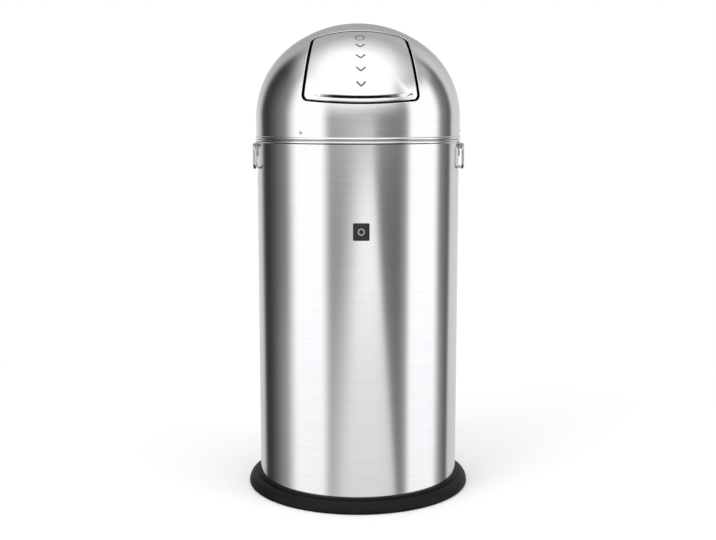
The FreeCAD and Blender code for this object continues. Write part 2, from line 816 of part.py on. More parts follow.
def flap_panel():
    """The pressed flap: a skin just under the dome's surface with its edges turned in."""
    wall = s["flap_sheet"]
    outer = flap_outline("flap_outline", as_size(0))
    inner = flap_outline("flap_inside", wall)
    slab = common("flap_slab", outer, dome_layer("flap_depth_layer", s["flap_recess"],
                                                 s["flap_recess"] + s["flap_depth"]))
    hollow = common("flap_hollow", inner, dome_block("flap_hollow_block", s["flap_recess"] + wall,
                                                     lid_bead_height))
    return cut("flap_panel", slab, hollow)


def hinge_ear(name, plate_low, plate_high, foot_low, foot_high, start, end, inset):
    """A web with an eye round the pin and a foot seated under the dome's parallel at inset."""
    web = box(name + "_web", (plate_low, start, hinge_level - s["eye_radius"]),
              (plate_high, end, s["overall_height"]))
    web = in_flap_frame(name + "_web_turned", web)
    foot = box(name + "_foot", (foot_low, start, 0), (foot_high, end, s["overall_height"]))
    foot = in_flap_frame(name + "_foot_turned", foot)
    under = dome_block(name + "_under", inset, lid_bead_height)
    deeper = dome_block(name + "_deeper", inset + s["bracket_sheet"], lid_bead_height - overcut)
    web_piece = common(name + "_web_piece", web, under)
    foot_piece = common(name + "_foot_piece", foot, cut(name + "_foot_layer", under, deeper))
    return [web_piece, foot_piece]


def flap_lug(side):
    """An ear welded under the flap's skin that turns on the pin."""
    name = sided("flap_lug", side)
    near, far = s["lug_place"], s["lug_place"] + s["lug_sheet"]
    foot_near = s["lug_place"] + s["lug_sheet"] - s["lug_foot"]
    plate = (near, far) if side > 0 else (-far, -near)
    foot = (foot_near, far) if side > 0 else (-far, -foot_near)
    inset = s["flap_recess"] + s["flap_sheet"] + s["weld_gap"]
    end = hinge_top + s["eye_radius"]
    start = end - s["lug_length"]
    pieces = hinge_ear(name, *plate, *foot, start, end, inset)
    bore = in_flap_frame(name + "_bore", flap_rod(name + "_bore_rod", s["pin_radius"] + s["pin_fit"],
                                                  plate[0] - overcut, plate[1] + overcut))
    return cut(name, fuse(name + "_whole", pieces), bore)


def hinge_bracket(side):
    """A bracket welded inside the dome above the opening; its arm reaches under the edge to the pin."""
    name = sided("hinge_bracket", side)
    near, far = s["bracket_place"], s["bracket_place"] + s["bracket_sheet"]
    foot_far = s["bracket_place"] + s["bracket_foot"]
    plate = (near, far) if side > 0 else (-far, -near)
    foot = (near, foot_far) if side > 0 else (-foot_far, -near)
    inset = s["lid_sheet"] + s["weld_gap"]
    start = s["opening_top"] + s["lid_sheet"] + s["flap_top_gap"]
    pieces = hinge_ear(name, *plate, *foot, start, start + s["bracket_length"], inset)
    arm = box(name + "_arm", (plate[0], hinge_top - s["eye_radius"], hinge_level - s["eye_radius"]),
              (plate[1], start + s["bracket_sheet"], hinge_level + s["eye_radius"] / 2))
    eye = flap_rod(name + "_eye", s["eye_radius"], *plate)
    pieces.append(in_flap_frame(name + "_arm_turned", fuse(name + "_arm_eye", [arm, eye])))
    bore = in_flap_frame(name + "_bore", flap_rod(name + "_bore_rod", s["pin_radius"] + s["pin_fit"],
                                                  plate[0] - overcut, plate[1] + overcut))
    return cut(name, fuse(name + "_whole", pieces), bore)


pin_half = s["bracket_place"] + s["bracket_sheet"] + s["pin_overhang"]


def hinge_pin():
    return in_flap_frame("hinge_pin", flap_rod("pin_rod", s["pin_radius"], -pin_half, pin_half))


def pin_clips():
    """Two push-on clips just outside the brackets."""
    clips = []
    for side in (-1, 1):
        near = s["bracket_place"] + s["bracket_sheet"] + s["clip_gap"]
        far = near + s["clip_sheet"]
        low, high = (near, far) if side > 0 else (-far, -near)
        disc = flap_rod(sided("clip_disc", side), s["clip_radius"], low, high)
        hole = flap_rod(sided("clip_hole", side), s["pin_radius"] + s["pin_fit"] / 2,
                        low - overcut, high + overcut)
        clips.append(cut(sided("clip", side), disc, hole))
    return in_flap_frame("pin_clips", group("clip_pair", clips))


def bow_at(distance):
    """How far down the flap the opening's bottom edge lies, at a distance from the middle."""
    return -s["opening_bottom"] + bow_radius - root(bow_radius * bow_radius - distance * distance)


stop_outer = s["stop_place"] + s["stop_width"] / 2
stop_riser_face = s["flap_sheet"] + s["weld_gap"]
stop_root = bow_at(stop_outer) + s["flap_bottom_gap"] + stop_riser_face + s["stop_sheet"]
stop_level = shoulder_at(stop_root) - s["stop_depth"]
buffer_end = bow_at(s["stop_place"] - s["stop_width"] / 2) + s["flap_bottom_gap"] - s["buffer_clearance"]


def flap_stop(side):
    """An angle welded inside the flap's bottom edge whose leg reaches under the opening's edge."""
    name = sided("flap_stop", side)
    middle = side * s["stop_place"]
    low, high = middle - s["stop_width"] / 2, middle + s["stop_width"] / 2
    foot, top = stop_level - s["stop_sheet"], stop_level + s["stop_rise"]
    leg = in_flap_frame(name + "_leg_turned", box(name + "_leg", (low, stop_root - s["stop_reach"], foot),
                                                  (high, stop_root, stop_level)))
    window = in_flap_frame(name + "_window_turned", box(name + "_window", (low, -s["opening_bottom"], foot),
                                                        (high, 0, top)))
    band = cut(name + "_band", flap_outline(name + "_band_outer", stop_riser_face),
               flap_outline(name + "_band_inner", stop_riser_face + s["stop_sheet"]))
    return fuse(name, [leg, common(name + "_riser", band, window)])


def stop_buffers():
    """Rubber pads on the stops that meet the end of the opening's turned-in edge."""
    pads = []
    for side in (-1, 1):
        middle = side * s["stop_place"]
        pads.append(box(sided("buffer", side),
                        (middle - s["stop_width"] / 2, stop_root - s["stop_reach"], stop_level),
                        (middle + s["stop_width"] / 2, buffer_end, s["overall_height"])))
    tall = in_flap_frame("buffer_pair", group("tall_buffers", pads))
    under_edge = dome_block("buffer_ceiling", s["edge_depth"] + s["buffer_gap"], lid_bead_height)
    return common("stop_buffers", tall, under_edge)


# Torsion springs

def arc_on(start, heading, end):
    """The arc that leaves start along heading and ends at end, with its heading there."""
    chord = end - start
    sideways_part = (chord - heading * chord.dot(heading)).normalize()
    radius = chord.dot(chord) / (2 * chord.dot(sideways_part))
    centre = start + sideways_part * radius
    middle = centre + ((start - centre) + (end - centre)).normalize() * radius
    return Part.Arc(start, middle, end).toShape()


def biarc(start, start_heading, end, end_heading):
    """Two tangent arcs between two points with given headings."""
    gap = end - start
    both = start_heading + end_heading
    spread = 2 * (1 - start_heading.dot(end_heading))
    reach = (-gap.dot(both) + math.sqrt(gap.dot(both) ** 2 + spread * gap.dot(gap))) / spread
    middle = ((start + start_heading * reach) + (end - end_heading * reach)) / 2
    first = arc_on(start, start_heading, middle)
    last = arc_on(end, end_heading * -1, middle)
    return [first, last]


def torsion_spring(side):
    """A coil round the pin with one leg under the flap's skin and one under the lid's bracket."""
    name = sided("torsion_spring", side)
    radius, pitch = s["spring_radius"].value, s["spring_pitch"].value
    start_angle = math.radians(90 - s["spring_flap_angle"].value)
    sweep = math.radians(360 * s["spring_turns"].value) - math.radians(s["spring_flap_angle"].value)
    start_place = s["lug_place"].value + s["lug_sheet"].value + s["spring_clearance"].value
    centre_y, centre_z = hinge_top.value, hinge_level.value

    def coil_point(turned_by):
        angle = start_angle - turned_by
        return FreeCAD.Vector(side * (start_place + pitch * turned_by / (2 * math.pi)),
                              centre_y + radius * math.cos(angle), centre_z + radius * math.sin(angle))

    def coil_heading(turned_by):
        angle = start_angle - turned_by
        return FreeCAD.Vector(side * pitch / (2 * math.pi), radius * math.sin(angle),
                              -radius * math.cos(angle)).normalize()

    steps = int(round(sweep / (math.pi / 2)))
    stations = [sweep * step / steps for step in range(steps + 1)]
    edges = [line(coil_point(0) - coil_heading(0) * s["spring_flap_leg"].value, coil_point(0))]
    for here, there in zip(stations, stations[1:]):
        edges += biarc(coil_point(here), coil_heading(here), coil_point(there), coil_heading(there))
    edges.append(line(coil_point(sweep), coil_point(sweep) + coil_heading(sweep) * s["spring_lid_leg"].value))
    print(name, "least gap between turns", round(pitch - 2 * s["spring_wire"].value, 2))
    wire = wire_along(name + "_wire", edges, s["spring_wire"].value)
    return in_flap_frame(name, wire)


# Building, checking and writing

def build_parts():
    parts = [outer_shell(), bottom_plate(), base_ring(), badge_plate(), handle_rivets(),
             liner_bucket(), liner_bottom(), ear_rivets(), liner_bail(),
             dome_shell(), lid_collar(), collar_rivets(), hinge_pin(), pin_clips(),
             flap_panel(), stop_buffers()]
    for side in (-1, 1):
        parts += [handle_bracket(side), carry_handle(side), liner_ear(side), hinge_bracket(side),
                  flap_lug(side), flap_stop(side), torsion_spring(side)]
    return parts


parts = build_parts()
doc.recompute()
failed = [item.Name for item in doc.Objects if "Invalid" in item.State or "Error" in item.State]
if failed:
    raise RuntimeError("not built: " + ", ".join(failed))
for part in parts:
    if part.Shape.isNull() or not part.Shape.isValid() or not part.Shape.Solids:
        raise RuntimeError("no good shape: " + part.Label)
os.makedirs("parts", exist_ok=True)
for part in parts:
    part.Shape.exportStep("parts/%s.step" % part.Label)
    print("%-24s solids %d  volume %10.1f" % (part.Label, len(part.Shape.Solids), part.Shape.Volume))
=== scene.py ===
import json
import math

import bmesh
import bpy
import numpy as np
from mathutils import Matrix, Vector


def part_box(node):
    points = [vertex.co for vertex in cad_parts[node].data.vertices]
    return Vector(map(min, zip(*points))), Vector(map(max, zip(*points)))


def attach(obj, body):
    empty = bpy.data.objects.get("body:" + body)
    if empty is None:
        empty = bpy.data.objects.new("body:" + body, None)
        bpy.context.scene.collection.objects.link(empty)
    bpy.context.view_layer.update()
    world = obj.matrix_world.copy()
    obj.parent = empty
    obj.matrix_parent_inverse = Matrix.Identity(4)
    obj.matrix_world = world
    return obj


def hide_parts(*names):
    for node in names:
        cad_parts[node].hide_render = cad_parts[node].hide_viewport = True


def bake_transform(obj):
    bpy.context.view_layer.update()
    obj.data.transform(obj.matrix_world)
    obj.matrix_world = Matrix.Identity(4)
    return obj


# A brushed steel push-flap bin, dressed for a plain white studio. Sizes are in millimetres until a mesh is made.

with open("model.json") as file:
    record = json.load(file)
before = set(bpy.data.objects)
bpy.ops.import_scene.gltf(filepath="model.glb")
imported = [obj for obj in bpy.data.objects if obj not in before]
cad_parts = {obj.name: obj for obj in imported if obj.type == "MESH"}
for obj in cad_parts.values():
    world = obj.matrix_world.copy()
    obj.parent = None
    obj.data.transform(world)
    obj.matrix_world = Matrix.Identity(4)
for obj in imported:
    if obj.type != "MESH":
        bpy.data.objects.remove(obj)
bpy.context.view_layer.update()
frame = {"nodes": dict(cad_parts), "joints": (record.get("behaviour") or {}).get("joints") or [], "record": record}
mm = 0.001
joints = {joint["name"]: joint for joint in frame["joints"]}
print("frame loaded:", len(frame["nodes"]), "nodes")


def nodeBox(node):
    low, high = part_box(node)
    return np.array(low) / mm, np.array(high) / mm


def jointPlace(name):
    return np.array(joints[name]["pos_m"]) / mm


# Node trees written as plain expressions

class Signal:
    # one output socket, so that 1 - mask * 0.3 adds its own Math nodes
    def __init__(self, tree, socket):
        self.tree = tree
        self.socket = socket

    def node(self, kind, inputs, settings=None, output=0):
        return addNode(self.tree, kind, inputs, settings, output)

    def math(self, operation, *values):
        return self.node("ShaderNodeMath", values, {"operation": operation})

    def __add__(self, other):
        return self.math("ADD", self, other)

    def __sub__(self, other):
        return self.math("SUBTRACT", self, other)

    def __rsub__(self, other):
        return self.math("SUBTRACT", other, self)

    def __mul__(self, other):
        return self.math("MULTIPLY", self, other)

    def __truediv__(self, other):
        return self.math("DIVIDE", self, other)

    def __pow__(self, other):
        return self.math("POWER", self, other)

    __radd__ = __add__
    __rmul__ = __mul__

    def step(self, low, high, start=0.0, end=1.0):
        # eases from start to end while the signal goes from low to high
        return self.node("ShaderNodeMapRange", [self, low, high, start, end], {"interpolation_type": "SMOOTHSTEP"})

    def blend(self, first, second):
        # first where the signal is 0, second where it is 1
        return self.node("ShaderNodeMapRange", [self, 0.0, 1.0, first, second])

    def tint(self, first, second):
        return self.node("ShaderNodeMix", {0: self, 6: first, 7: second}, {"data_type": "RGBA"}, 2)


def addNode(tree, kind, inputs=(), settings=None, output=0):
    node = tree.nodes.new(kind)
    for name, value in (settings or {}).items():
        setattr(node, name, value)
    pairs = inputs.items() if isinstance(inputs, dict) else enumerate(inputs)
    for name, value in pairs:
        if isinstance(value, Signal):
            tree.links.new(value.socket, node.inputs[name])
        else:
            node.inputs[name].default_value = value
    return Signal(tree, node.outputs[output]) if node.outputs else None


def startMaterial(name):
    material = bpy.data.materials.new(name)
    material.use_nodes = True
    material.node_tree.nodes.clear()
    return material, material.node_tree


def objectPoint(tree, scale=(1, 1, 1), move=(0, 0, 0), turn=(0, 0, 0)):
    place = addNode(tree, "ShaderNodeTexCoord", output="Object")
    return addNode(tree, "ShaderNodeMapping", {"Vector": place, "Scale": scale, "Location": move, "Rotation": turn})


def noise(tree, point, size=1.0, detail=3.0, roughness=0.5):
    inputs = {"Vector": point, "Scale": size, "Detail": detail, "Roughness": roughness}
    return addNode(tree, "ShaderNodeTexNoise", inputs)


def bump(height, strength, distance):
    return height.node("ShaderNodeBump", {"Height": height, "Strength": strength, "Distance": distance * mm})


def finishSurface(tree, inputs):
    shader = addNode(tree, "ShaderNodeBsdfPrincipled", inputs)
    addNode(tree, "ShaderNodeOutputMaterial", [shader])


def grey(level, warm=0.0):
    # a screen level as a linear colour, a little towards violet like the steel in the photograph
    value = level ** 2.2
    return (value * (1 + warm), value * 0.992, value * (1.012 - warm), 1.0)


# Finishes

brushed = {"dark": 0.95, "light": 0.985, "roughness": 0.16, "spread": 0.08, "grain": 0.006, "lines": 1400.0}


def brushedSteel(name, look):
    # rolled sheet brushed round the bin: hair lines run level, so reflections smear up and down
    material, tree = startMaterial(name)
    hair = noise(tree, objectPoint(tree, (9, 9, look["lines"])), 1.0, 4.0, 0.65)
    strokes = noise(tree, objectPoint(tree, (5, 5, 160), (3, 1, 2)), 1.0, 3.0, 0.6)
    cloud = noise(tree, objectPoint(tree, (6, 6, 3)), 1.0, 2.0)
    wear = hair * 0.55 + strokes * 0.30 + cloud * 0.15
    rough = look["roughness"] + (wear - 0.5) * look["spread"]
    finishSurface(tree, {
        "Base Color": wear.step(0.3, 0.7).tint(grey(look["dark"]), grey(look["light"])),
        "Metallic": 1.0, "Roughness": rough, "Anisotropic": 0.65, "Anisotropic Rotation": 0.25,
        "Normal": bump(hair * 0.85 + strokes * 0.15, 0.35, look["grain"])})
    return material


polished = {"level": 0.99, "roughness": 0.06, "smear": 0.06, "grain": 0.003}


def polishedSteel(name, look):
    material, tree = startMaterial(name)
    smear = noise(tree, objectPoint(tree, (14, 14, 14)), 1.0, 4.0, 0.6)
    hair = noise(tree, objectPoint(tree, (60, 900, 60)), 1.0, 3.0, 0.6)
    rough = look["roughness"] + smear.step(0.45, 0.8) * look["smear"] + (hair - 0.5) * 0.02
    finishSurface(tree, {
        "Base Color": smear.tint(grey(look["level"] - 0.02), grey(look["level"])),
        "Metallic": 1.0, "Roughness": rough, "Normal": bump(hair, 0.15, look["grain"])})
    return material


def galvanisedSteel(name):
    # zinc spangle: flat crystals a few millimetres to a centimetre across, each with its own tone
    material, tree = startMaterial(name)
    warp = noise(tree, objectPoint(tree, (40, 40, 40)), 1.0, 2.0)
    point = objectPoint(tree, (95, 95, 95))
    shifted = point.node("ShaderNodeVectorMath", [point, warp * 0.6], {"operation": "ADD"})
    tone = shifted.node("ShaderNodeTexVoronoi", {"Vector": shifted, "Scale": 1.0}, output="Color")
    crystal = tone.node("ShaderNodeSeparateColor", [tone])
    cloud = noise(tree, objectPoint(tree, (9, 9, 9)), 1.0, 3.0)
    finishSurface(tree, {
        "Base Color": (crystal * 0.8 + cloud * 0.2).tint(grey(0.66), grey(0.80)),
        "Metallic": 0.92, "Roughness": 0.30 + crystal * 0.16 + cloud * 0.06,
        "Normal": bump(crystal, 0.25, 0.02)})
    return material


def drawnWire(name):
    material, tree = startMaterial(name)
    scratch = noise(tree, objectPoint(tree, (300, 300, 300)), 1.0, 4.0, 0.6)
    cloud = noise(tree, objectPoint(tree, (40, 40, 40)), 1.0, 2.0)
    finishSurface(tree, {
        "Base Color": cloud.tint(grey(0.83), grey(0.90)), "Metallic": 1.0,
        "Roughness": 0.20 + scratch * 0.14, "Normal": bump(scratch, 0.3, 0.01)})
    return material


def pressedSteel(name):
    # mill finish of the brackets, with faint rolling lines and duller patches from handling
    material, tree = startMaterial(name)
    rolling = noise(tree, objectPoint(tree, (30, 700, 30)), 1.0, 4.0, 0.6)
    patch = noise(tree, objectPoint(tree, (45, 45, 45)), 1.0, 4.0, 0.6)
    finishSurface(tree, {
        "Base Color": patch.step(0.3, 0.7).tint(grey(0.78), grey(0.87)), "Metallic": 1.0,
        "Roughness": 0.26 + patch * 0.16 + rolling * 0.06, "Normal": bump(rolling * 0.7 + patch * 0.3, 0.3, 0.015)})
    return material


rubber = {"dark": 0.085, "dusty": 0.17, "roughness": 0.46}


def mouldedRubber(name, look):
    # moulded black rubber: fine spark-eroded grain, with dust and scuffs low down where shoes and mops reach
    material, tree = startMaterial(name)
    grain = noise(tree, objectPoint(tree, (900, 900, 900)), 1.0, 2.0)
    scuff = noise(tree, objectPoint(tree, (28, 28, 90)), 1.0, 5.0, 0.65)
    height = objectPoint(tree).node("ShaderNodeSeparateXYZ", [objectPoint(tree)], output="Z")
    low = height.step(0.0, 0.014, 1.0, 0.15)
    dust = scuff.step(0.46, 0.75) * low
    finishSurface(tree, {
        "Base Color": dust.tint(grey(look["dark"]), grey(look["dusty"], 0.03)),
        "Roughness": look["roughness"] + grain * 0.08 + dust * 0.22, "Specular IOR Level": 0.22,
        "Normal": bump(grain * 0.7 + scuff * 0.3, 0.35, 0.03)})
    return material


def badgeCoat(name):
    material, tree = startMaterial(name)
    grain = noise(tree, objectPoint(tree, (60, 60, 1600)), 1.0, 3.0)
    cloud = noise(tree, objectPoint(tree, (90, 90, 90)), 1.0, 3.0)
    finishSurface(tree, {
        "Base Color": cloud.tint(grey(0.16), grey(0.22)), "Metallic": 0.4,
        "Roughness": 0.36 + grain * 0.12, "Normal": bump(grain, 0.3, 0.01)})
    return material


def etchedSteel(name):
    material, tree = startMaterial(name)
    grain = noise(tree, objectPoint(tree, (1500, 1500, 1500)), 1.0, 2.0)
    finishSurface(tree, {
        "Base Color": grain.tint(grey(0.40), grey(0.52)), "Metallic": 0.7,
        "Roughness": 0.50 + grain * 0.2, "Normal": bump(grain, 0.4, 0.01)})
    return material


finishes = {
    "brushed_steel": brushedSteel("brushed sheet", brushed),
    "polished_steel": polishedSteel("mirror sheet", polished),
    "galvanised": galvanisedSteel("zinc spangle"),
    "wire_steel": drawnWire("drawn wire"),
    "bracket_steel": pressedSteel("pressed bracket steel"),
    "foot_rubber": mouldedRubber("foot rubber", rubber),
    "buffer_rubber": mouldedRubber("buffer rubber", {"dark": 0.2, "dusty": 0.26, "roughness": 0.6}),
    "badge_dark": badgeCoat("badge coating"),
}
etched = etchedSteel("etched steel")
slotOf = {part["node"]: part["material_slot"] for part in frame["record"]["subparts"]}
bodyOf = {node: body for body, nodes in frame["record"]["behaviour"]["bodies"].items() for node in nodes}
print("finishes made:", len(finishes) + 1)


# Meshes

def makeObject(name, mesh):
    piece = bpy.data.objects.new(name, mesh)
    bpy.context.scene.collection.objects.link(piece)
    return piece


def smooth(mesh, angle):
    mesh.polygons.foreach_set("use_smooth", [True] * len(mesh.polygons))
    mesh.set_sharp_from_angle(angle=math.radians(angle))


def loft(name, rings, ends="capped", angle=35):
    # joins rings of points, each closed round; ends are capped with a centre point, or joined to each other
    rings = np.array(rings, float) * mm
    rows, count = rings.shape[:2]
    points = rings.reshape(-1, 3)
    grid = np.arange(rows * count).reshape(rows, count)
    along = np.vstack([grid, grid[:1]]) if ends == "joined" else grid
    here, there = along[:-1], along[1:]
    quads = np.stack([here, np.roll(here, -1, 1), np.roll(there, -1, 1), there], -1).reshape(-1, 4)
    faces = quads.tolist()
    if ends == "capped":
        for ring, centre in ((grid[0][::-1], len(points)), (grid[-1], len(points) + 1)):
            faces += [[ring[number - 1], ring[number], centre] for number in range(count)]
        points = np.vstack([points, rings[0].mean(0), rings[-1].mean(0)])
    mesh = bpy.data.meshes.new(name)
    mesh.from_pydata(points.tolist(), [], faces)
    tidyMesh(mesh)
    smooth(mesh, angle)
    return makeObject(name, mesh)


def tidyMesh(mesh):
    work = bmesh.new()
    work.from_mesh(mesh)
    bmesh.ops.remove_doubles(work, verts=work.verts, dist=1e-6)
    bmesh.ops.recalc_face_normals(work, faces=work.faces)
    work.to_mesh(mesh)
    work.free()


def roundCorners(corners, radii, steps=6):
    # a closed outline whose corners are turned into arcs; a radius of 0 leaves a corner sharp
    corners = np.array(corners, float)
    outline = []
    for number, corner in enumerate(corners):
        radius = radii.get(number, 0) if isinstance(radii, dict) else radii
        before = corners[number - 1] - corner
        after = corners[(number + 1) % len(corners)] - corner
        if radius == 0:
            outline.append(corner)
            continue
        before /= np.linalg.norm(before)
        after /= np.linalg.norm(after)
        half = math.acos(np.clip(before @ after, -1, 1)) / 2
        middle = (before + after) / np.linalg.norm(before + after)
        centre = corner + middle * radius / math.sin(half)
        start = corner + before * radius / math.tan(half) - centre
        end = corner + after * radius / math.tan(half) - centre
        turn = math.acos(np.clip(start @ end / radius ** 2, -1, 1))
        for share in np.linspace(0, 1, steps + 1):
            weights = math.sin((1 - share) * turn) / math.sin(turn), math.sin(share * turn) / math.sin(turn)
            outline.append(centre + weights[0] * start + weights[1] * end)
    return np.array(outline)


def lathe(name, profile, steps=256, angle=35):
    # turns a closed profile of (radius, height) about the bin's axis
    turns = np.linspace(0, 2 * math.pi, steps, endpoint=False)
    rings = [np.stack([radius * np.cos(turns), radius * np.sin(turns), np.full(steps, height)], -1)
             for radius, height in profile]
    return loft(name, rings, "joined", angle)


def arc(centre, radius, start, end, steps):
    angles = np.radians(np.linspace(start, end, steps))
    return np.stack([centre[0] + radius * np.cos(angles), centre[1] + radius * np.sin(angles)], -1)


def tube(name, path, radius, sides=20, closed=False):
    # a round wire along a path, with frames carried along it so that it doesn't twist
    path = np.array(path, float)
    if closed:
        headings = np.roll(path, -1, 0) - np.roll(path, 1, 0)
    else:
        headings = np.gradient(path, axis=0)
    headings /= np.linalg.norm(headings, axis=1)[:, None]
    side = np.cross(headings[0], [0.3, 0.5, 0.8])
    turns = np.linspace(0, 2 * math.pi, sides, endpoint=False)
    rings = []
    for point, heading in zip(path, headings):
        side = side - heading * (side @ heading)
        side /= np.linalg.norm(side)
        other = np.cross(heading, side)
        rings.append(point + radius * (np.cos(turns)[:, None] * side + np.sin(turns)[:, None] * other))
    if closed:
        rings = untwist(rings)
    return loft(name, rings, "joined" if closed else "capped", 60)


def untwist(rings):
    # turns the last ring's start back to the first one's, a little at each ring
    first, last = rings[0] - rings[0].mean(0), rings[-1] - rings[-1].mean(0)
    gap = min(range(len(first)), key=lambda shift: np.abs(np.roll(last, shift, 0) - first).sum())
    gap = gap if gap <= len(first) / 2 else gap - len(first)
    return [np.roll(ring, round(gap * number / len(rings)), 0) for number, ring in enumerate(rings)]


def dress(piece, node, also=(), material=None):
    # the piece stands for its node: it takes the node's body and finish
    piece.data.materials.clear()
    piece.data.materials.append(material or finishes[slotOf[node]])
    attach(piece, bodyOf[node])
    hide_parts(node, *also)
    return piece


def applyModifiers(piece):
    graph = bpy.context.evaluated_depsgraph_get()
    mesh = bpy.data.meshes.new_from_object(piece.evaluated_get(graph))
    piece.modifiers.clear()
    piece.data = mesh
    return piece


def softened(node, width):
    # a pressed piece with its edges broken, from a merged copy of its node
    mesh = frame["nodes"][node].data.copy()
    mesh.name = node + "_softened"
    work = bmesh.new()
    work.from_mesh(mesh)
    bmesh.ops.remove_doubles(work, verts=work.verts, dist=2e-6)
    bmesh.ops.dissolve_limit(work, angle_limit=math.radians(1.0), verts=work.verts, edges=work.edges)
    work.to_mesh(mesh)
    work.free()
    piece = makeObject(node + "_softened", mesh)
    edge = piece.modifiers.new("edge", "BEVEL")
    edge.width = width * mm
    edge.segments = 2
    edge.limit_method = "ANGLE"
    edge.angle_limit = math.radians(40)
    applyModifiers(piece)
    smooth(piece.data, 35)
    return dress(piece, node)


# Body

body = {"radius": 162.5, "sheet": 0.8, "beadRadius": 2.65, "edge": 0.25}


def shellProfile():
    low, high = nodeBox("outer_shell")
    centre = (high[0] - body["beadRadius"], high[2] - body["beadRadius"])
    outside, inside = body["radius"], body["radius"] - body["sheet"]
    start = -math.degrees(math.acos((outside - centre[0]) / body["beadRadius"]))
    end = math.degrees(math.acos((inside - centre[0]) / body["beadRadius"])) - 360
    bead = arc(centre, body["beadRadius"], start, 360 + end if end < start else end, 40)
    bead = arc(centre, body["beadRadius"], start, 360 - math.degrees(math.acos((inside - centre[0])
                                                                              / body["beadRadius"])), 40)
    foot = [(inside, low[2] + body["edge"]), (inside + body["edge"], low[2]),
            (outside - body["edge"], low[2]), (outside, low[2] + body["edge"])]
    walls = np.linspace(low[2] + 20, centre[1] - 12, 24)
    return (foot + [(outside, height) for height in walls] + list(map(tuple, bead))
            + [(inside, height) for height in walls[::-1]])


dress(lathe("shell_wall", shellProfile()), "outer_shell")

ring = {"hole": 153.2, "foot": 180.1, "toe": 2.2, "skirt": 14.6, "lip": 166.5, "wall": 162.6, "ledge": 4.5,
        "crease": 16.8, "lipRound": 1.1, "edge": 0.5}


def ringProfile():
    high = nodeBox("base_ring")[1]
    skirt = arc((high[0] - ring["skirt"], ring["toe"]), ring["skirt"], 0, 84, 22)
    crease = [(ring["lip"] + 0.45, skirt[-1][1] - 0.05), (ring["lip"], skirt[-1][1] + 0.5)]
    lip = arc((ring["lip"] - ring["lipRound"], high[2] - ring["lipRound"]), ring["lipRound"], 0, 90, 6)
    inside = roundCorners([(ring["wall"], high[2]), (ring["wall"], ring["ledge"]), (ring["hole"], ring["ledge"]),
                           (ring["hole"], 0), (ring["foot"], 0)], {0: 0, 1: 0, 2: ring["edge"], 3: ring["edge"]}, 3)
    toe = arc((high[0] - 1.6, 1.6), 1.6, -90, -10, 6)
    return np.vstack([inside[1:-1], [(ring["foot"] - 4, 0)], toe, skirt, crease, lip, inside[:1] + [[0.3, 0]]])


dress(lathe("foot_ring", ringProfile(), 288), "base_ring")


def plateProfile():
    low, high = nodeBox("bottom_plate")
    outside, inside = high[0], high[0] - body["sheet"]
    floor = high[2] - body["sheet"]
    corners = [(0, floor), (inside, floor), (inside, low[2]), (outside, low[2]), (outside, high[2]), (0, high[2])]
    return roundCorners(corners, {1: 0.8, 4: 1.4}, 4)


dress(lathe("body_floor", plateProfile()), "bottom_plate")

badge = {"corner": 1.6, "edge": 0.3, "markRadius": 5.2, "markWidth": 1.5, "markRise": 0.05}


def onWall(across, height, radius):
    # wraps points of a flat drawing round the front of the body
    turn = across / radius
    return np.stack([radius * np.sin(turn), -radius * np.cos(turn), height], -1)


def badgePlate():
    low, high = nodeBox("badge_plate")
    middle, half = (low[2] + high[2]) / 2, np.array([high[0], (high[2] - low[2]) / 2])
    face, back = -low[1], body["radius"] + 0.1
    rings = []
    for inset, radius in ((0, back), (0, face - badge["edge"]), (badge["edge"] * 0.3, face - badge["edge"] * 0.3),
                          (badge["edge"], face), (half[0] * 0.5, face)):
        reach = half - inset
        corner = max(badge["corner"] - inset, 0.5)
        outline = roundCorners([(-reach[0], -reach[1]), (reach[0], -reach[1]), (reach[0], reach[1]),
                                (-reach[0], reach[1])], corner, 7)
        rings.append(onWall(outline[:, 0], middle + outline[:, 1], radius))
    dress(loft("badge_face", rings), "badge_plate")
    turns = np.linspace(0, 2 * math.pi, 48, endpoint=False)
    rings = []
    for reach, rise in ((0, 0), (0, 1), (1, 1), (1, 0)):
        radius = badge["markRadius"] - reach * badge["markWidth"]
        rings.append(onWall(radius * np.cos(turns), middle + radius * np.sin(turns),
                            face - 0.02 + rise * badge["markRise"]))
    mark = loft("badge_ring", rings, "joined")
    mark.data.materials.append(finishes["bracket_steel"])
    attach(mark, "bin")


badgePlate()
print("body made")


# Dome and flap share the dome's surface: a straight skirt, a shoulder arc and a crown arc

dome = {"radius": 163.7, "offset": 23.7, "drop": 29.234, "sheet": 0.8, "tilt": 40.0, "lip": 1.0, "edgeDepth": 7.0}
dome["top"] = nodeBox("dome_shell")[1][2]
dome["shoulder"] = dome["radius"] - dome["offset"]
dome["crown"] = dome["shoulder"] + math.hypot(dome["offset"], dome["drop"])
dome["base"] = dome["top"] - dome["crown"] + dome["drop"]
opening = {"top": 55.0, "topHalf": 73.5, "bottom": 88.3, "bow": 22.3, "bottomHalf": 89.5, "corner": 13.0}
flap = {"topGap": 1.5, "sideGap": 3.8, "bottomGap": 3.2, "sheet": 0.8, "flangeInset": 9.6, "innerReach": 9.2,
        "borderInset": 1.0, "pillowInset": 0.3, "pillowReach": 26.0, "edge": 1.3, "step": 3.0,
        "stepToe": 1.8, "stepFoot": 5.8, "stepHead": 8.4, "stepLeft": (-76, -60), "stepRight": (68, 84)}

tilt = math.radians(dome["tilt"])
upFlap = np.array([0, math.sin(tilt), math.cos(tilt)])
outFlap = np.array([0, -math.cos(tilt), math.sin(tilt)])
domeMiddle = np.array([0, 0, dome["base"]])


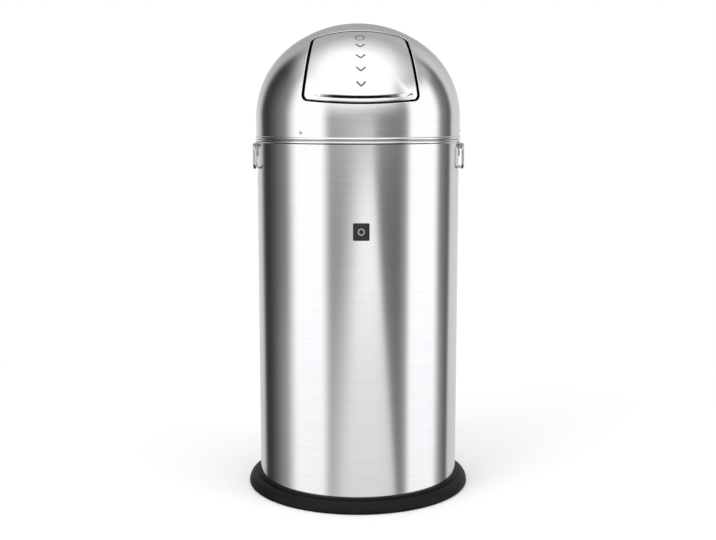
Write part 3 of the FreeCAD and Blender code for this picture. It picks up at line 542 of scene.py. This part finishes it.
def beyondDome(points, inset):
    # how far points, measured from the middle of the dome's base, lie outside its surface moved in by inset
    reach, height = np.hypot(points[:, 0], points[:, 1]), points[:, 2]
    skirt = reach - (dome["radius"] - inset)
    shoulder = np.hypot(reach - dome["offset"], height) - (dome["shoulder"] - inset)
    crown = np.hypot(reach, height + dome["drop"]) - (dome["crown"] - inset)
    onCrown = reach * dome["drop"] < dome["offset"] * (height + dome["drop"])
    return np.where(height < 0, skirt, np.where(onCrown, crown, shoulder))


def fromFlap(places, level):
    return places[:, :1] * [1, 0, 0] + places[:, 1:2] * upFlap + np.reshape(level, (-1, 1)) * outFlap


def onDome(places, inset):
    # points of the flap's frame carried out to the dome's surface moved in by inset
    low, high = np.full(len(places), 40.0), np.full(len(places), 230.0)
    for _ in range(34):
        middle = (low + high) / 2
        inside = beyondDome(fromFlap(places, middle), inset) < 0
        low, high = np.where(inside, middle, low), np.where(inside, high, middle)
    return fromFlap(places, low) + domeMiddle


def flapOutline(topGap, sideGap, bottomGap, corner):
    # the opening's outline drawn in by its gaps: points and outward directions, anticlockwise
    bowRadius = (opening["bottomHalf"] ** 2 + opening["bow"] ** 2) / (2 * opening["bow"])
    centre = np.array([0, bowRadius - opening["bottom"]])
    radius, top = bowRadius - bottomGap, opening["top"] - topGap
    wide, narrow = opening["bottomHalf"] - sideGap, opening["topHalf"] - sideGap
    low = np.array([wide, centre[1] - math.sqrt(radius ** 2 - wide ** 2)])
    up = np.array([narrow, top]) - low
    up /= np.linalg.norm(up)
    out = np.array([up[1], -up[0]])
    start = low - corner * out - centre
    lean = start @ up
    reach = -lean - math.sqrt(lean ** 2 - (start @ start - (radius - corner) ** 2))
    lowCentre = start + centre + reach * up
    topCentre = np.array([low[0] + (-corner - (top - corner - low[1]) * out[1]) / out[0], top - corner])
    side = math.degrees(math.atan2(out[1], out[0]))
    foot = math.degrees(math.atan2(lowCentre[1] - centre[1], lowCentre[0]))

    def bend(middle, size, first, last, steps):
        angles = np.radians(np.linspace(first, last, steps, endpoint=False))
        away = np.stack([np.cos(angles), np.sin(angles)], -1)
        return middle + size * away, away

    def run(first, last, away, steps):
        shares = np.linspace(0, 1, steps, endpoint=False)[:, None]
        return first + shares * (last - first), np.tile(away, (steps, 1))

    flip = np.array([-1, 1])
    pieces = [bend(centre, radius, -180 - foot, foot, 72), bend(lowCentre, corner, foot, side, 22),
              run(lowCentre + corner * out, topCentre + corner * out, out, 40),
              bend(topCentre, corner, side, 90, 20),
              run(topCentre + [0, corner], topCentre * flip + [0, corner], [0, 1], 56),
              bend(topCentre * flip, corner, 90, 180 - side, 20),
              run((topCentre + corner * out) * flip, (lowCentre + corner * out) * flip, out * flip, 40),
              bend(lowCentre * flip, corner, 180 - side, 180 - foot, 22)]
    return np.vstack([piece[0] for piece in pieces]), np.vstack([piece[1] for piece in pieces])


def skinRings(outline, outward, outset, inset, steps, lastHeight):
    # rings that spread from the opening over the whole dome and down to a level
    start = onDome(outline + outset * outward, inset) - domeMiddle
    start /= np.linalg.norm(start, axis=1)[:, None]
    first = np.arccos(start @ outFlap)
    turn = np.arctan2(start @ upFlap, start[:, 0])
    rise = (lastHeight - dome["base"]) / (dome["radius"] - inset)
    sink = rise / math.hypot(1, rise)
    along, across = np.full(len(turn), math.sin(tilt)), np.sin(turn) * math.cos(tilt)
    last = np.arctan2(across, along) + np.arccos(sink / np.hypot(along, across))
    rings = []
    for share in np.linspace(0, 1, steps) ** 1.25:
        angle = (first + (last - first) * share)[:, None]
        away = np.cos(angle) * outFlap + np.sin(angle) * (np.cos(turn)[:, None] * [1, 0, 0]
                                                         + np.sin(turn)[:, None] * upFlap)
        rings.append(reachDome(away, inset) + domeMiddle)
    return rings


def reachDome(away, inset):
    # where rays from the middle of the dome's base meet its surface moved in by inset
    level, height = np.hypot(away[:, 0], away[:, 1]), away[:, 2]
    skirt = (dome["radius"] - inset) / np.maximum(level, 1e-6)
    shoulder = dome["offset"] * level + np.sqrt(
        np.maximum((dome["shoulder"] - inset) ** 2 - (dome["offset"] * height) ** 2, 0))
    crown = -dome["drop"] * height + np.sqrt(
        (dome["crown"] - inset) ** 2 - (dome["drop"] * level) ** 2)
    onCrown = shoulder * level * dome["drop"] < dome["offset"] * (shoulder * height + dome["drop"])
    reach = np.where(height < 0, skirt, np.where(onCrown, crown, shoulder))
    return away * reach[:, None]


def domeShell():
    outline, outward = flapOutline(0, 0, 0, opening["corner"])
    lip, sheet = dome["lip"], dome["sheet"]
    rings = [onDome(outline, inset) for inset in (dome["edgeDepth"], 4.0, 2.4)]
    surface = onDome(outline, 0)
    for angle in np.radians(np.linspace(90, 15, 6)):
        spread = outline + lip * (1 - math.sin(angle)) * outward
        rings.append(onDome(spread, 0) - outFlap * lip * (1 - math.cos(angle)))
    beadCentre = (nodeBox("dome_shell")[1][0] - body["beadRadius"], nodeBox("dome_shell")[0][2] + body["beadRadius"])
    outerMeet = math.acos((dome["radius"] - beadCentre[0]) / body["beadRadius"])
    innerMeet = math.acos((dome["radius"] - sheet - beadCentre[0]) / body["beadRadius"])
    outer = skinRings(outline, outward, lip, 0, 84, beadCentre[1] + body["beadRadius"] * math.sin(outerMeet))
    inner = skinRings(outline, outward, sheet, sheet, 84, beadCentre[1] + body["beadRadius"] * math.sin(innerMeet))
    heading = outer[-1][:, :2] / np.linalg.norm(outer[-1][:, :2], axis=1)[:, None]
    bead = [np.column_stack([heading * radius, np.full(len(heading), height)])
            for radius, height in arc(beadCentre, body["beadRadius"], math.degrees(outerMeet),
                                      math.degrees(innerMeet) - 360, 34)[1:-1]]
    rings += outer + bead + inner[::-1]
    rings += [onDome(outline + sheet * outward, inset) for inset in (2.4, 4.0, dome["edgeDepth"])]
    return dress(loft("dome_skin", rings, "joined", 50), "dome_shell")


domeShell()


def ease(value, low, high):
    share = np.clip((value - low) / (high - low), 0, 1)
    return share * share * (3 - 2 * share)


def flapSkin():
    # a soft pillow with a rounded edge, stepped in along the bottom for the fingers
    outline, outward = flapOutline(flap["topGap"], flap["sideGap"], flap["bottomGap"],
                                   opening["corner"] - flap["bottomGap"])
    border, pillow, edge, sheet = flap["borderInset"], flap["pillowInset"], flap["edge"], flap["sheet"]
    inner = outline - flap["innerReach"] * outward
    centre = np.array([0, inner[:, 1].mean()])
    across = outline[:, 0]
    deep = ease(across, *flap["stepLeft"]) * (1 - ease(across, *flap["stepRight"])) * (outward[:, 1] < -0.5)

    def skin(place):
        rise = border + (pillow - border) * ease(place, 0, flap["pillowReach"])
        ramp = np.interp(place, [flap["stepToe"], flap["stepFoot"], flap["stepHead"]], [0, 1, 0])
        return rise + deep * flap["step"] * ramp

    def face(depth):
        rings = [onDome(centre + share * (inner - centre), skin(flap["innerReach"] + (1 - share) * 55) + depth)
                 for share in np.linspace(0.02, 1, 44)]
        for place in np.linspace(flap["innerReach"], edge + 0.3, 30)[1:]:
            rings.append(onDome(outline - place * outward, skin(place) + depth))
        return rings

    rings = face(0)
    for angle in np.radians(np.linspace(0, 90, 7)):
        rings.append(onDome(outline - edge * (1 - math.sin(angle)) * outward,
                            border + edge * (1 - math.cos(angle))))
    rings += [onDome(outline, inset) for inset in (6.4, flap["flangeInset"])]
    rings += [onDome(outline - sheet * outward, inset) for inset in (flap["flangeInset"], 6.4, border + 3.9)]
    rings += face(sheet)[::-1]
    return dress(loft("flap_skin", rings, "capped", 60), "flap_panel")


flapSkin()


def pointCloud(name, places, facing):
    mesh = bpy.data.meshes.new(name)
    mesh.from_pydata([tuple(np.array(place) * mm) for place in places], [], [])
    mesh.attributes.new("facing", "FLOAT_VECTOR", "POINT").data.foreach_set("vector", np.ravel(facing).astype(float))
    return makeObject(name, mesh)


def newTree(name, inputs):
    tree = bpy.data.node_groups.new(name, "GeometryNodeTree")
    tree.interface.new_socket("Geometry", in_out="INPUT", socket_type="NodeSocketGeometry")
    for label, value in inputs.items():
        socket = tree.interface.new_socket(label, in_out="INPUT", socket_type="NodeSocketFloat")
        socket.default_value = value
    tree.interface.new_socket("Geometry", in_out="OUTPUT", socket_type="NodeSocketGeometry")
    source = tree.nodes.new("NodeGroupInput")
    return tree, {item.name: Signal(tree, source.outputs[item.name]) for item in tree.interface.items_tree
                  if item.in_out == "INPUT"}


def closeTree(tree, geometry, material):
    real = addNode(tree, "GeometryNodeRealizeInstances", [geometry])
    painted = addNode(tree, "GeometryNodeSetMaterial", {"Geometry": real, "Material": material})
    addNode(tree, "NodeGroupOutput", [painted])


def runTree(piece, tree, values):
    # gives the modifier its sizes by socket identifier and turns the result into a plain mesh
    modifier = piece.modifiers.new("nodes", "NODES")
    modifier.node_group = tree
    for item in tree.interface.items_tree:
        if item.in_out == "INPUT" and item.name in values:
            modifier[item.identifier] = values[item.name] * mm
    applyModifiers(piece)
    tidyMesh(piece.data)
    smooth(piece.data, 35)
    return piece


def scaled(tree, geometry, across, along):
    size = addNode(tree, "ShaderNodeCombineXYZ", [across, across, along])
    return addNode(tree, "GeometryNodeTransform", {"Geometry": geometry, "Scale": size})


def moved(tree, geometry, height):
    shift = addNode(tree, "ShaderNodeCombineXYZ", [0.0, 0.0, height])
    return addNode(tree, "GeometryNodeTransform", {"Geometry": geometry, "Translation": shift})


def halfBall(tree, side):
    # the upper or lower half of a unit ball, flat on its other side
    ball = addNode(tree, "GeometryNodeMeshUVSphere", {"Segments": 28, "Rings": 20, "Radius": 1.0})
    place = addNode(tree, "GeometryNodeInputPosition")
    x, y, z = (addNode(tree, "ShaderNodeSeparateXYZ", [place], output=axis) for axis in "XYZ")
    flat = z.math("MAXIMUM" if side > 0 else "MINIMUM", z, 0.0)
    point = addNode(tree, "ShaderNodeCombineXYZ", [x, y, flat])
    return addNode(tree, "GeometryNodeSetPosition", {"Geometry": ball, "Position": point})


def rivetTree(material):
    # a domed head, a shank through the sheets and a low upset tail, on every point along its facing
    tree, given = newTree("rivets", {"Head Radius": 0.003, "Head Rise": 0.001, "Shank Radius": 0.0016,
                                     "Grip": 0.002, "Tail Radius": 0.0026, "Tail Rise": 0.0009})
    head = scaled(tree, halfBall(tree, 1), given["Head Radius"], given["Head Rise"])
    tail = moved(tree, scaled(tree, halfBall(tree, -1), given["Tail Radius"], given["Tail Rise"]),
                 0.0 - given["Grip"])
    shank = addNode(tree, "GeometryNodeMeshCylinder",
                    {"Vertices": 20, "Radius": given["Shank Radius"], "Depth": given["Grip"]}, output="Mesh")
    shank = moved(tree, shank, given["Grip"] * -0.5)
    join = tree.nodes.new("GeometryNodeJoinGeometry")
    for part in (head, tail, shank):
        tree.links.new(part.socket, join.inputs[0])
    facing = addNode(tree, "GeometryNodeInputNamedAttribute", {"Name": "facing"}, {"data_type": "FLOAT_VECTOR"})
    turn = addNode(tree, "FunctionNodeAlignRotationToVector", {"Vector": facing}, {"axis": "Z"})
    spread = addNode(tree, "GeometryNodeInstanceOnPoints",
                     {"Points": given["Geometry"], "Instance": Signal(tree, join.outputs[0]), "Rotation": turn})
    closeTree(tree, spread, material)
    return tree


rivetSizes = {
    "handle_rivets": {"Head Radius": 3.6, "Head Rise": 1.0, "Shank Radius": 2.0, "Tail Radius": 3.0, "Tail Rise": 0.9},
    "collar_rivets": {"Head Radius": 2.6, "Head Rise": 1.0, "Shank Radius": 1.6, "Tail Radius": 2.6, "Tail Rise": 0.9},
    "ear_rivets": {"Head Radius": 2.8, "Head Rise": 1.0, "Shank Radius": 1.6, "Tail Radius": 2.6, "Tail Rise": 0.9},
}


def looseParts(node):
    # the separate solids of a node, as arrays of points
    mesh = frame["nodes"][node].data
    work = bmesh.new()
    work.from_mesh(mesh)
    bmesh.ops.remove_doubles(work, verts=work.verts, dist=1e-6)
    left, parts = set(work.verts), []
    while left:
        stack, found = [left.pop()], []
        while stack:
            vertex = stack.pop()
            found.append(np.array(vertex.co) / mm)
            for edge in vertex.link_edges:
                other = edge.other_vert(vertex)
                if other in left:
                    left.remove(other)
                    stack.append(other)
        parts.append(np.array(found))
    work.free()
    return parts


def rivets(node, inwards=False):
    # seats, facings and grips are read from the rivets of the frame
    sizes = dict(rivetSizes[node])
    places, facings = [], []
    for part in looseParts(node):
        middle = part.mean(0)
        facing = np.array([middle[0], 0, 0] if node != "collar_rivets" else [middle[0], middle[1], 0])
        facing /= np.linalg.norm(facing) * (-1 if inwards else 1)
        along = part @ facing
        centre = (part.max(0) + part.min(0)) / 2
        seat = along.max() - sizes["Head Rise"]
        sizes["Grip"] = seat - along.min() - sizes["Tail Rise"]
        places.append(centre + facing * (seat - centre @ facing))
        facings.append(facing)
    name = node.replace("rivets", "rivet_heads")
    piece = pointCloud(name, places, facings)
    tree = rivetTree(finishes[slotOf[node]])
    return dress(runTree(piece, tree, sizes), node)


rivets("handle_rivets")
rivets("collar_rivets")
rivets("ear_rivets", inwards=True)

marks = {"first": 7.0, "pitch": 23.7, "count": 4, "arm": 10.0, "thick": 2.6, "lean": 46.0, "rise": 0.06,
         "ringPlace": 31.0, "ringRadius": 7.5, "ringWidth": 1.7}


def chevronTree(material):
    # two arms that meet in a point, on every point of the flap's middle line
    tree, given = newTree("chevrons", {"Arm": 0.01, "Thick": 0.002, "Rise": 0.0001})
    join = tree.nodes.new("GeometryNodeJoinGeometry")
    for side in (-1, 1):
        size = addNode(tree, "ShaderNodeCombineXYZ", [given["Arm"], given["Thick"], given["Rise"]])
        bar = addNode(tree, "GeometryNodeMeshCube", {"Size": size, "Vertices X": 8, "Vertices Y": 3})
        shift = addNode(tree, "ShaderNodeCombineXYZ", [given["Arm"] * (0.5 * side), 0.0, 0.0])
        bar = addNode(tree, "GeometryNodeTransform", {"Geometry": bar, "Translation": shift})
        bar = addNode(tree, "GeometryNodeTransform",
                      {"Geometry": bar, "Rotation": (0, 0, math.radians(marks["lean"]) * side)})
        tree.links.new(bar.socket, join.inputs[0])
    spread = addNode(tree, "GeometryNodeInstanceOnPoints",
                     {"Points": given["Geometry"], "Instance": Signal(tree, join.outputs[0])})
    closeTree(tree, spread, material)
    return tree


def flapMarks():
    # drawn flat in the flap's own frame, then laid on the flap's skin
    places = [(0, marks["first"] - number * marks["pitch"], 0) for number in range(marks["count"])]
    piece = pointCloud("push_chevrons", places, [(0, 0, 1)] * marks["count"])
    runTree(piece, chevronTree(etched), {"Arm": marks["arm"], "Thick": marks["thick"], "Rise": marks["rise"]})
    flat = np.array([vertex.co for vertex in piece.data.vertices]) / mm
    laid = onDome(flat[:, :2], flap["pillowInset"]) + flat[:, 2:] * outFlap
    piece.data.vertices.foreach_set("co", (laid * mm).ravel())
    turns = np.linspace(0, 2 * math.pi, 48, endpoint=False)
    rings = []
    for reach, rise in ((0, -0.5), (0, 0.5), (1, 0.5), (1, -0.5)):
        radius = marks["ringRadius"] - reach * marks["ringWidth"]
        drawn = np.stack([radius * np.cos(turns), marks["ringPlace"] + radius * np.sin(turns)], -1)
        rings.append(onDome(drawn, flap["pillowInset"]) + rise * marks["rise"] * outFlap)
    circle = loft("flap_ring_mark", rings, "joined")
    circle.data.materials.append(etched)
    for mark in (piece, circle):
        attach(mark, "flap")


flapMarks()
print("dome and flap made")


# Lid fittings

collar = {"sheet": 1.0, "joggle": 21.0, "slope": 3.6, "round": 1.2, "edge": 0.3}


def collarProfile():
    low, high = nodeBox("lid_collar")
    outer, wall = high[0], collar["sheet"]
    inner = outer - collar["slope"]
    step = low[2] + collar["joggle"]
    corners = [(inner - wall, low[2]), (inner, low[2]), (inner, step), (outer, step + collar["slope"]),
               (outer, high[2]), (outer - wall, high[2]), (outer - wall, step + collar["slope"] + wall / 2),
               (inner - wall, step + wall / 2)]
    radii = {0: collar["edge"], 1: collar["edge"], 2: collar["round"], 3: collar["round"],
             4: collar["edge"], 5: collar["edge"], 6: collar["round"], 7: collar["round"]}
    return roundCorners(corners, radii, 4)


dress(lathe("lid_collar_ring", collarProfile()), "lid_collar")

for node, width in (("hinge_bracket_left", 0.3), ("hinge_bracket_right", 0.3), ("flap_lug_left", 0.3),
                    ("flap_lug_right", 0.3), ("flap_stop_left", 0.3), ("flap_stop_right", 0.3),
                    ("hinge_pin", 0.4), ("pin_clips", 0.15), ("stop_buffers", 0.4),
                    ("handle_bracket_left", 0.25), ("handle_bracket_right", 0.25),
                    ("liner_ear_left", 0.3), ("liner_ear_right", 0.3)):
    softened(node, width)

spring = {"wire": 0.6, "radius": 4.8, "pitch": 1.8, "turns": 5.0, "start": 34.7, "flapLeg": 35.2,
          "flapAngle": 47.0, "lidLeg": 27.0, "sides": 12}


def springPath(side):
    # a leg under the flap's skin, a coil round the pin, and a leg under the lid
    hinge = jointPlace("flap_swing") - domeMiddle
    middle = np.array([hinge @ upFlap, hinge @ outFlap])
    first = math.radians(90 - spring["flapAngle"])
    sweep = math.radians(360 * spring["turns"] - spring["flapAngle"])
    turned = np.linspace(0, sweep, int(28 * spring["turns"]))
    angles = first - turned
    along = side * (spring["start"] + spring["pitch"] * turned / (2 * math.pi))
    coil = np.stack([along, middle[0] + spring["radius"] * np.cos(angles),
                     middle[1] + spring["radius"] * np.sin(angles)], -1)
    heading = np.stack([np.full(2, side * spring["pitch"] / (2 * math.pi)),
                        spring["radius"] * np.sin(angles[[0, -1]]), -spring["radius"] * np.cos(angles[[0, -1]])], -1)
    heading /= np.linalg.norm(heading, axis=1)[:, None]
    shares = np.linspace(1, 0, 14, endpoint=False)[:, None]
    flapLeg = coil[0] - heading[0] * spring["flapLeg"] * shares
    lidLeg = coil[-1] + heading[1] * spring["lidLeg"] * (1 - shares[::-1] + shares[-1])
    path = np.vstack([flapLeg, coil, lidLeg])
    return fromFlap(path[:, :2], path[:, 2]) + domeMiddle


def torsionSprings():
    # on the real bin the coil winds between the lid's leg and the flap's leg when the flap swings; here it is drawn at
    # rest and tied to no body
    for side, label in ((-1, "left"), (1, "right")):
        node = "torsion_spring_" + label
        piece = tube("flap_spring_" + label, springPath(side), spring["wire"], spring["sides"])
        piece.data.materials.append(finishes[slotOf[node]])
        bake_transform(piece)
        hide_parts(node)


torsionSprings()
print("lid fittings made")


# Side handles

handle = {"wire": 2.0, "width": 80.0, "drop": 36.0, "corner": 9.0}


def sideHandles():
    for side, label in ((-1, "left"), (1, "right")):
        pivot = jointPlace(label + "_handle_swing")
        half, low = handle["width"] / 2, pivot[2] - handle["drop"]
        loop = roundCorners([(-half, low), (half, low), (half, pivot[2]), (-half, pivot[2])], handle["corner"], 14)
        path = np.column_stack([np.full(len(loop), pivot[0]), loop])
        dress(tube("handle_loop_" + label, path, handle["wire"], 24, closed=True), "carry_handle_" + label)


sideHandles()


# Liner

liner = {"foot": 140.0, "top": 146.0, "sheet": 0.8, "rim": 2.5, "edge": 0.25}


def linerProfile():
    low, high = nodeBox("liner_bucket")
    centre = np.array([high[0] - liner["rim"], high[2] - liner["rim"]])
    reach = math.degrees(math.acos((liner["top"] - centre[0]) / liner["rim"]))
    rim = arc(centre, liner["rim"], -reach, 180, 40)
    heights = np.linspace(low[2] + 4, centre[1] - 8, 20)
    slope = (liner["top"] - liner["foot"]) / (centre[1] - low[2])
    outside = [(liner["foot"] + slope * (height - low[2]), height) for height in heights]
    inside = [(radius - liner["sheet"], height) for radius, height in outside[::-1]]
    foot = [(liner["foot"] - liner["sheet"], low[2] + liner["edge"]), (liner["foot"] - liner["sheet"] / 2, low[2]),
            (liner["foot"], low[2] + liner["edge"])]
    return foot + outside + list(map(tuple, rim)) + inside


def linerFloorProfile():
    low, high = nodeBox("liner_bottom")
    outside, wall = high[0], liner["sheet"]
    corners = [(0, low[2]), (outside, low[2]), (outside, high[2]), (outside - wall, high[2]),
               (outside - wall, low[2] + wall), (0, low[2] + wall)]
    return roundCorners(corners, {1: 1.2, 4: 0.5}, 4)


dress(lathe("liner_wall", linerProfile()), "liner_bucket")
dress(lathe("liner_floor", linerFloorProfile()), "liner_bottom")

bail = {"wire": 2.0, "corner": 4.0, "overhang": 0.9, "end": 2.5, "headRadius": 3.4, "headLength": 2.0, "headEdge": 0.5}


def linerBail():
    height = jointPlace("bail_swing")[2]
    reach = nodeBox("liner_bucket")[1][0] - liner["rim"] + bail["overhang"]
    corner = bail["corner"]
    cornerPlace = math.sqrt((reach - corner) ** 2 - corner ** 2)
    turn = math.degrees(math.atan2(corner, cornerPlace))
    inner = nodeBox("liner_ear_right")[0][0] - bail["end"]
    right = np.vstack([[(inner, 0)], arc((cornerPlace, corner), corner, -90, turn, 10)])
    left = right[::-1] * [-1, 1]
    flat = np.vstack([right, arc((0, 0), reach, turn, 180 - turn, 110)[1:-1], left])
    path = np.column_stack([flat, np.full(len(flat), height)])
    hoop = tube("bail_hoop", path, bail["wire"], 24)
    edge, length = bail["headEdge"], bail["headLength"] / 2
    turns = np.linspace(0, 2 * math.pi, 32, endpoint=False)
    heads = []
    for side in (-1, 1):
        rings = []
        for radius, shift in ((bail["headRadius"] - edge, -length), (bail["headRadius"], -length + edge),
                              (bail["headRadius"], length - edge), (bail["headRadius"] - edge, length)):
            rings.append(np.stack([np.full(32, side * inner + shift), radius * np.cos(turns),
                                   height + radius * np.sin(turns)], -1))
        heads.append(loft("bail_head_" + ("right" if side > 0 else "left"), rings))
    dress(hoop, "liner_bail")
    for head in heads:
        head.data.materials.append(finishes["wire_steel"])
        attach(head, "bail")


linerBail()
print("liner made")


# Studio: white floor and world, soft lamps, and a round wall of cards that only the shine sees

camera = {"azimuth": -1.7, "distance": 1850.0, "height": 613.3, "pitch": 8.01, "focus": 1136.0, "across": -0.1,
          "imageWidth": 716}


def makeCamera():
    data = bpy.data.cameras.new("camera")
    data.sensor_width = 36.0
    data.lens = camera["focus"] / camera["imageWidth"] * data.sensor_width
    data.clip_start, data.clip_end = 0.05, 100
    piece = bpy.data.objects.new("camera", data)
    bpy.context.scene.collection.objects.link(piece)
    turn = math.radians(camera["azimuth"])
    side = np.array([math.cos(turn), math.sin(turn), 0])
    back = np.array([math.sin(turn), -math.cos(turn), 0])
    place = back * camera["distance"] + side * camera["across"] + [0, 0, camera["height"]]
    piece.location = place * mm
    piece.rotation_euler = (math.radians(90 - camera["pitch"]), 0, turn)
    bpy.context.scene.camera = piece


makeCamera()

studio = {"turn": 2.3, "radius": 4.0, "middle": 0.45, "wall": 0.55, "overheadTilt": 57.0, "overheadSide": -10.0,
          "overheadReach": (27, 69)}
# each card: level, then its two edges in degrees round from the camera with how soft each edge is
cards = [
    ("back wall", 0.74, (-220, 10), (-146, 10)),
    ("back wall", 0.82, (122, 8), (220, 10)),
    ("left flag", 0.22, (-139, 10), (-106, 50)),
    ("left lamp", 1.04, (-84, 20), (-38.5, 14)),
    ("right lamp", 1.04, (50.8, 13), (95.5, 14)),
    ("right flag", 0.38, (106, 20), (119.5, 5)),
]


def cardMask(angle, left, right):
    rising = angle.step(left[0] - left[1] / 2, left[0] + left[1] / 2)
    falling = angle.step(right[0] - right[1] / 2, right[0] + right[1] / 2, 1.0, 0.0)
    return rising * falling


def reflectionCards():
    material, tree = startMaterial("studio cards")
    place = objectPoint(tree, (1, 1, 1), (0, 0, -studio["middle"]))
    place = place.node("ShaderNodeVectorMath", [place], {"operation": "NORMALIZE"})
    x, y, z = (place.node("ShaderNodeSeparateXYZ", [place], output=axis) for axis in "XYZ")
    degrees = 180 / math.pi
    angle = x.math("ARCTAN2", x, y * -1.0) * degrees - studio["turn"]
    rise = z.math("ARCSINE", z) * degrees
    depth = rise.math("MINIMUM", rise, 0.0) * -1.0
    level = angle * 0.0 + depth.step(7, 17, studio["wall"], 0.68)
    for _, shade, left, right in cards:
        level = cardMask(angle, left, right).blend(level, shade)
    shade = cardMask(angle, (18, 16), (49, 16)) * rise.step(8, 26, 1.0, 0.0)
    level = shade.blend(level, 0.52)
    behind = angle.math("ABSOLUTE", angle).step(125, 165)
    level = behind.blend(level, rise.step(2, 26, 0.84, 0.66))
    notch = cardMask(angle, (19, 7), (43, 7)) * rise.step(-3, 1, 1.0, 0.0) * depth.step(8, 20, 1.0, 0.3)
    level = notch.blend(level, 0.40)
    rightEdge = (angle - depth * 1.2).step(7.5, 12.5, 1.0, 0.0)
    leftEdge = (angle + depth * 1.0).step(-20, 10)
    patch = rightEdge * leftEdge * rise.step(-2.2, -0.6, 1.0, 0.0)
    level = patch.blend(level, depth.step(8, 16, 1.02, 0.92))
    level = level * depth.step(10, 20, 1.0, 0.97)
    rightUp = cardMask(angle, (57, 10), (112, 12)) * rise.step(28, 40)
    level = rightUp.blend(level, 0.70)
    level = rise.step(33, 55).blend(level, 0.68)
    frontTop = cardMask(angle, (-42, 14), (40, 24)) * rise.step(10, 28)
    level = frontTop.blend(level, 1.02)
    tiltUp, aside = math.radians(studio["overheadTilt"]), math.radians(studio["overheadSide"])
    front = y * (-math.cos(aside)) + x * math.sin(aside)
    facing = z * math.sin(tiltUp) + front * math.cos(tiltUp)
    away = facing.math("ARCCOSINE", facing) * degrees
    overhead = away.step(*studio["overheadReach"], 1.0, 0.0)
    level = overhead.blend(level, 1.04)
    level = rise.step(-36, -27, 1.0, 0.0).blend(level, 0.10)
    light = level ** 2.2
    glow = addNode(tree, "ShaderNodeEmission", {"Color": (0.995, 0.988, 1.0, 1.0), "Strength": light})
    addNode(tree, "ShaderNodeOutputMaterial", [glow])
    mesh = bpy.data.meshes.new("studio_cards")
    work = bmesh.new()
    bmesh.ops.create_uvsphere(work, u_segments=96, v_segments=48, radius=studio["radius"],
                              matrix=Matrix.Translation((0, 0, studio["middle"])))
    bmesh.ops.reverse_faces(work, faces=work.faces)
    work.to_mesh(mesh)
    work.free()
    mesh.materials.append(material)
    piece = makeObject("studio_cards", mesh)
    for kind in ("camera", "diffuse", "transmission", "volume_scatter", "shadow"):
        setattr(piece, "visible_" + kind, False)


reflectionCards()

floorLook = {"radius": 12.0, "level": 0.97, "fadeStart": 0.35, "fadeEnd": 1.2}


def whiteFloor():
    material, tree = startMaterial("studio floor")
    point = objectPoint(tree)
    distance = point.node("ShaderNodeVectorMath", [point], {"operation": "LENGTH"}, output="Value")
    speck = noise(tree, objectPoint(tree, (60, 60, 60)), 1.0, 3.0)
    matt = addNode(tree, "ShaderNodeBsdfDiffuse", {"Color": speck.tint(grey(floorLook["level"] - 0.004),
                                                                      grey(floorLook["level"]))})
    white = addNode(tree, "ShaderNodeEmission", {"Color": (1, 1, 1, 1), "Strength": 1.0})
    fade = distance.step(floorLook["fadeStart"], floorLook["fadeEnd"])
    mix = addNode(tree, "ShaderNodeMixShader", [fade, matt, white])
    addNode(tree, "ShaderNodeOutputMaterial", [mix])
    mesh = bpy.data.meshes.new("studio_floor")
    work = bmesh.new()
    bmesh.ops.create_circle(work, cap_ends=True, segments=96, radius=floorLook["radius"],
                            matrix=Matrix.Translation((0, 0, -0.0004)))
    work.to_mesh(mesh)
    work.free()
    mesh.materials.append(material)
    piece = makeObject("studio_floor", mesh)
    piece.visible_glossy = False


whiteFloor()


def whiteWorld(ambient):
    # the camera and the shine see white; everything else gets plain soft light
    world = bpy.data.worlds.new("white studio")
    bpy.context.scene.world = world
    world.use_nodes = True
    tree = world.node_tree
    tree.nodes.clear()
    seen = [addNode(tree, "ShaderNodeLightPath", output=ray)
            for ray in ("Is Camera Ray", "Is Glossy Ray", "Is Transmission Ray")]
    shown = seen[0].math("MAXIMUM", seen[0].math("MAXIMUM", seen[0], seen[1]), seen[2])
    white = addNode(tree, "ShaderNodeBackground", {"Color": (1, 1, 1, 1), "Strength": 1.0})
    soft = addNode(tree, "ShaderNodeBackground", {"Color": (1, 1, 1, 1), "Strength": ambient})
    mix = addNode(tree, "ShaderNodeMixShader", [shown, soft, white])
    addNode(tree, "ShaderNodeOutputWorld", [mix])


whiteWorld(1.0)

lamps = {"left soft lamp": {"place": (-1.6, -1.5, 2.2), "size": 1.4, "power": 20.0},
         "right soft lamp": {"place": (1.9, -1.1, 1.8), "size": 1.2, "power": 10.0}}


def softLamps():
    for name, lamp in lamps.items():
        data = bpy.data.lights.new(name, "AREA")
        data.size = lamp["size"]
        data.energy = lamp["power"]
        piece = bpy.data.objects.new(name, data)
        piece.location = lamp["place"]
        aim = Vector((0, 0, 0.35)) - Vector(lamp["place"])
        piece.rotation_euler = aim.to_track_quat("-Z", "Y").to_euler()
        piece.visible_glossy = False
        bpy.context.scene.collection.objects.link(piece)


softLamps()

scene = bpy.context.scene
scene.view_settings.view_transform = "Standard"
print("studio made")
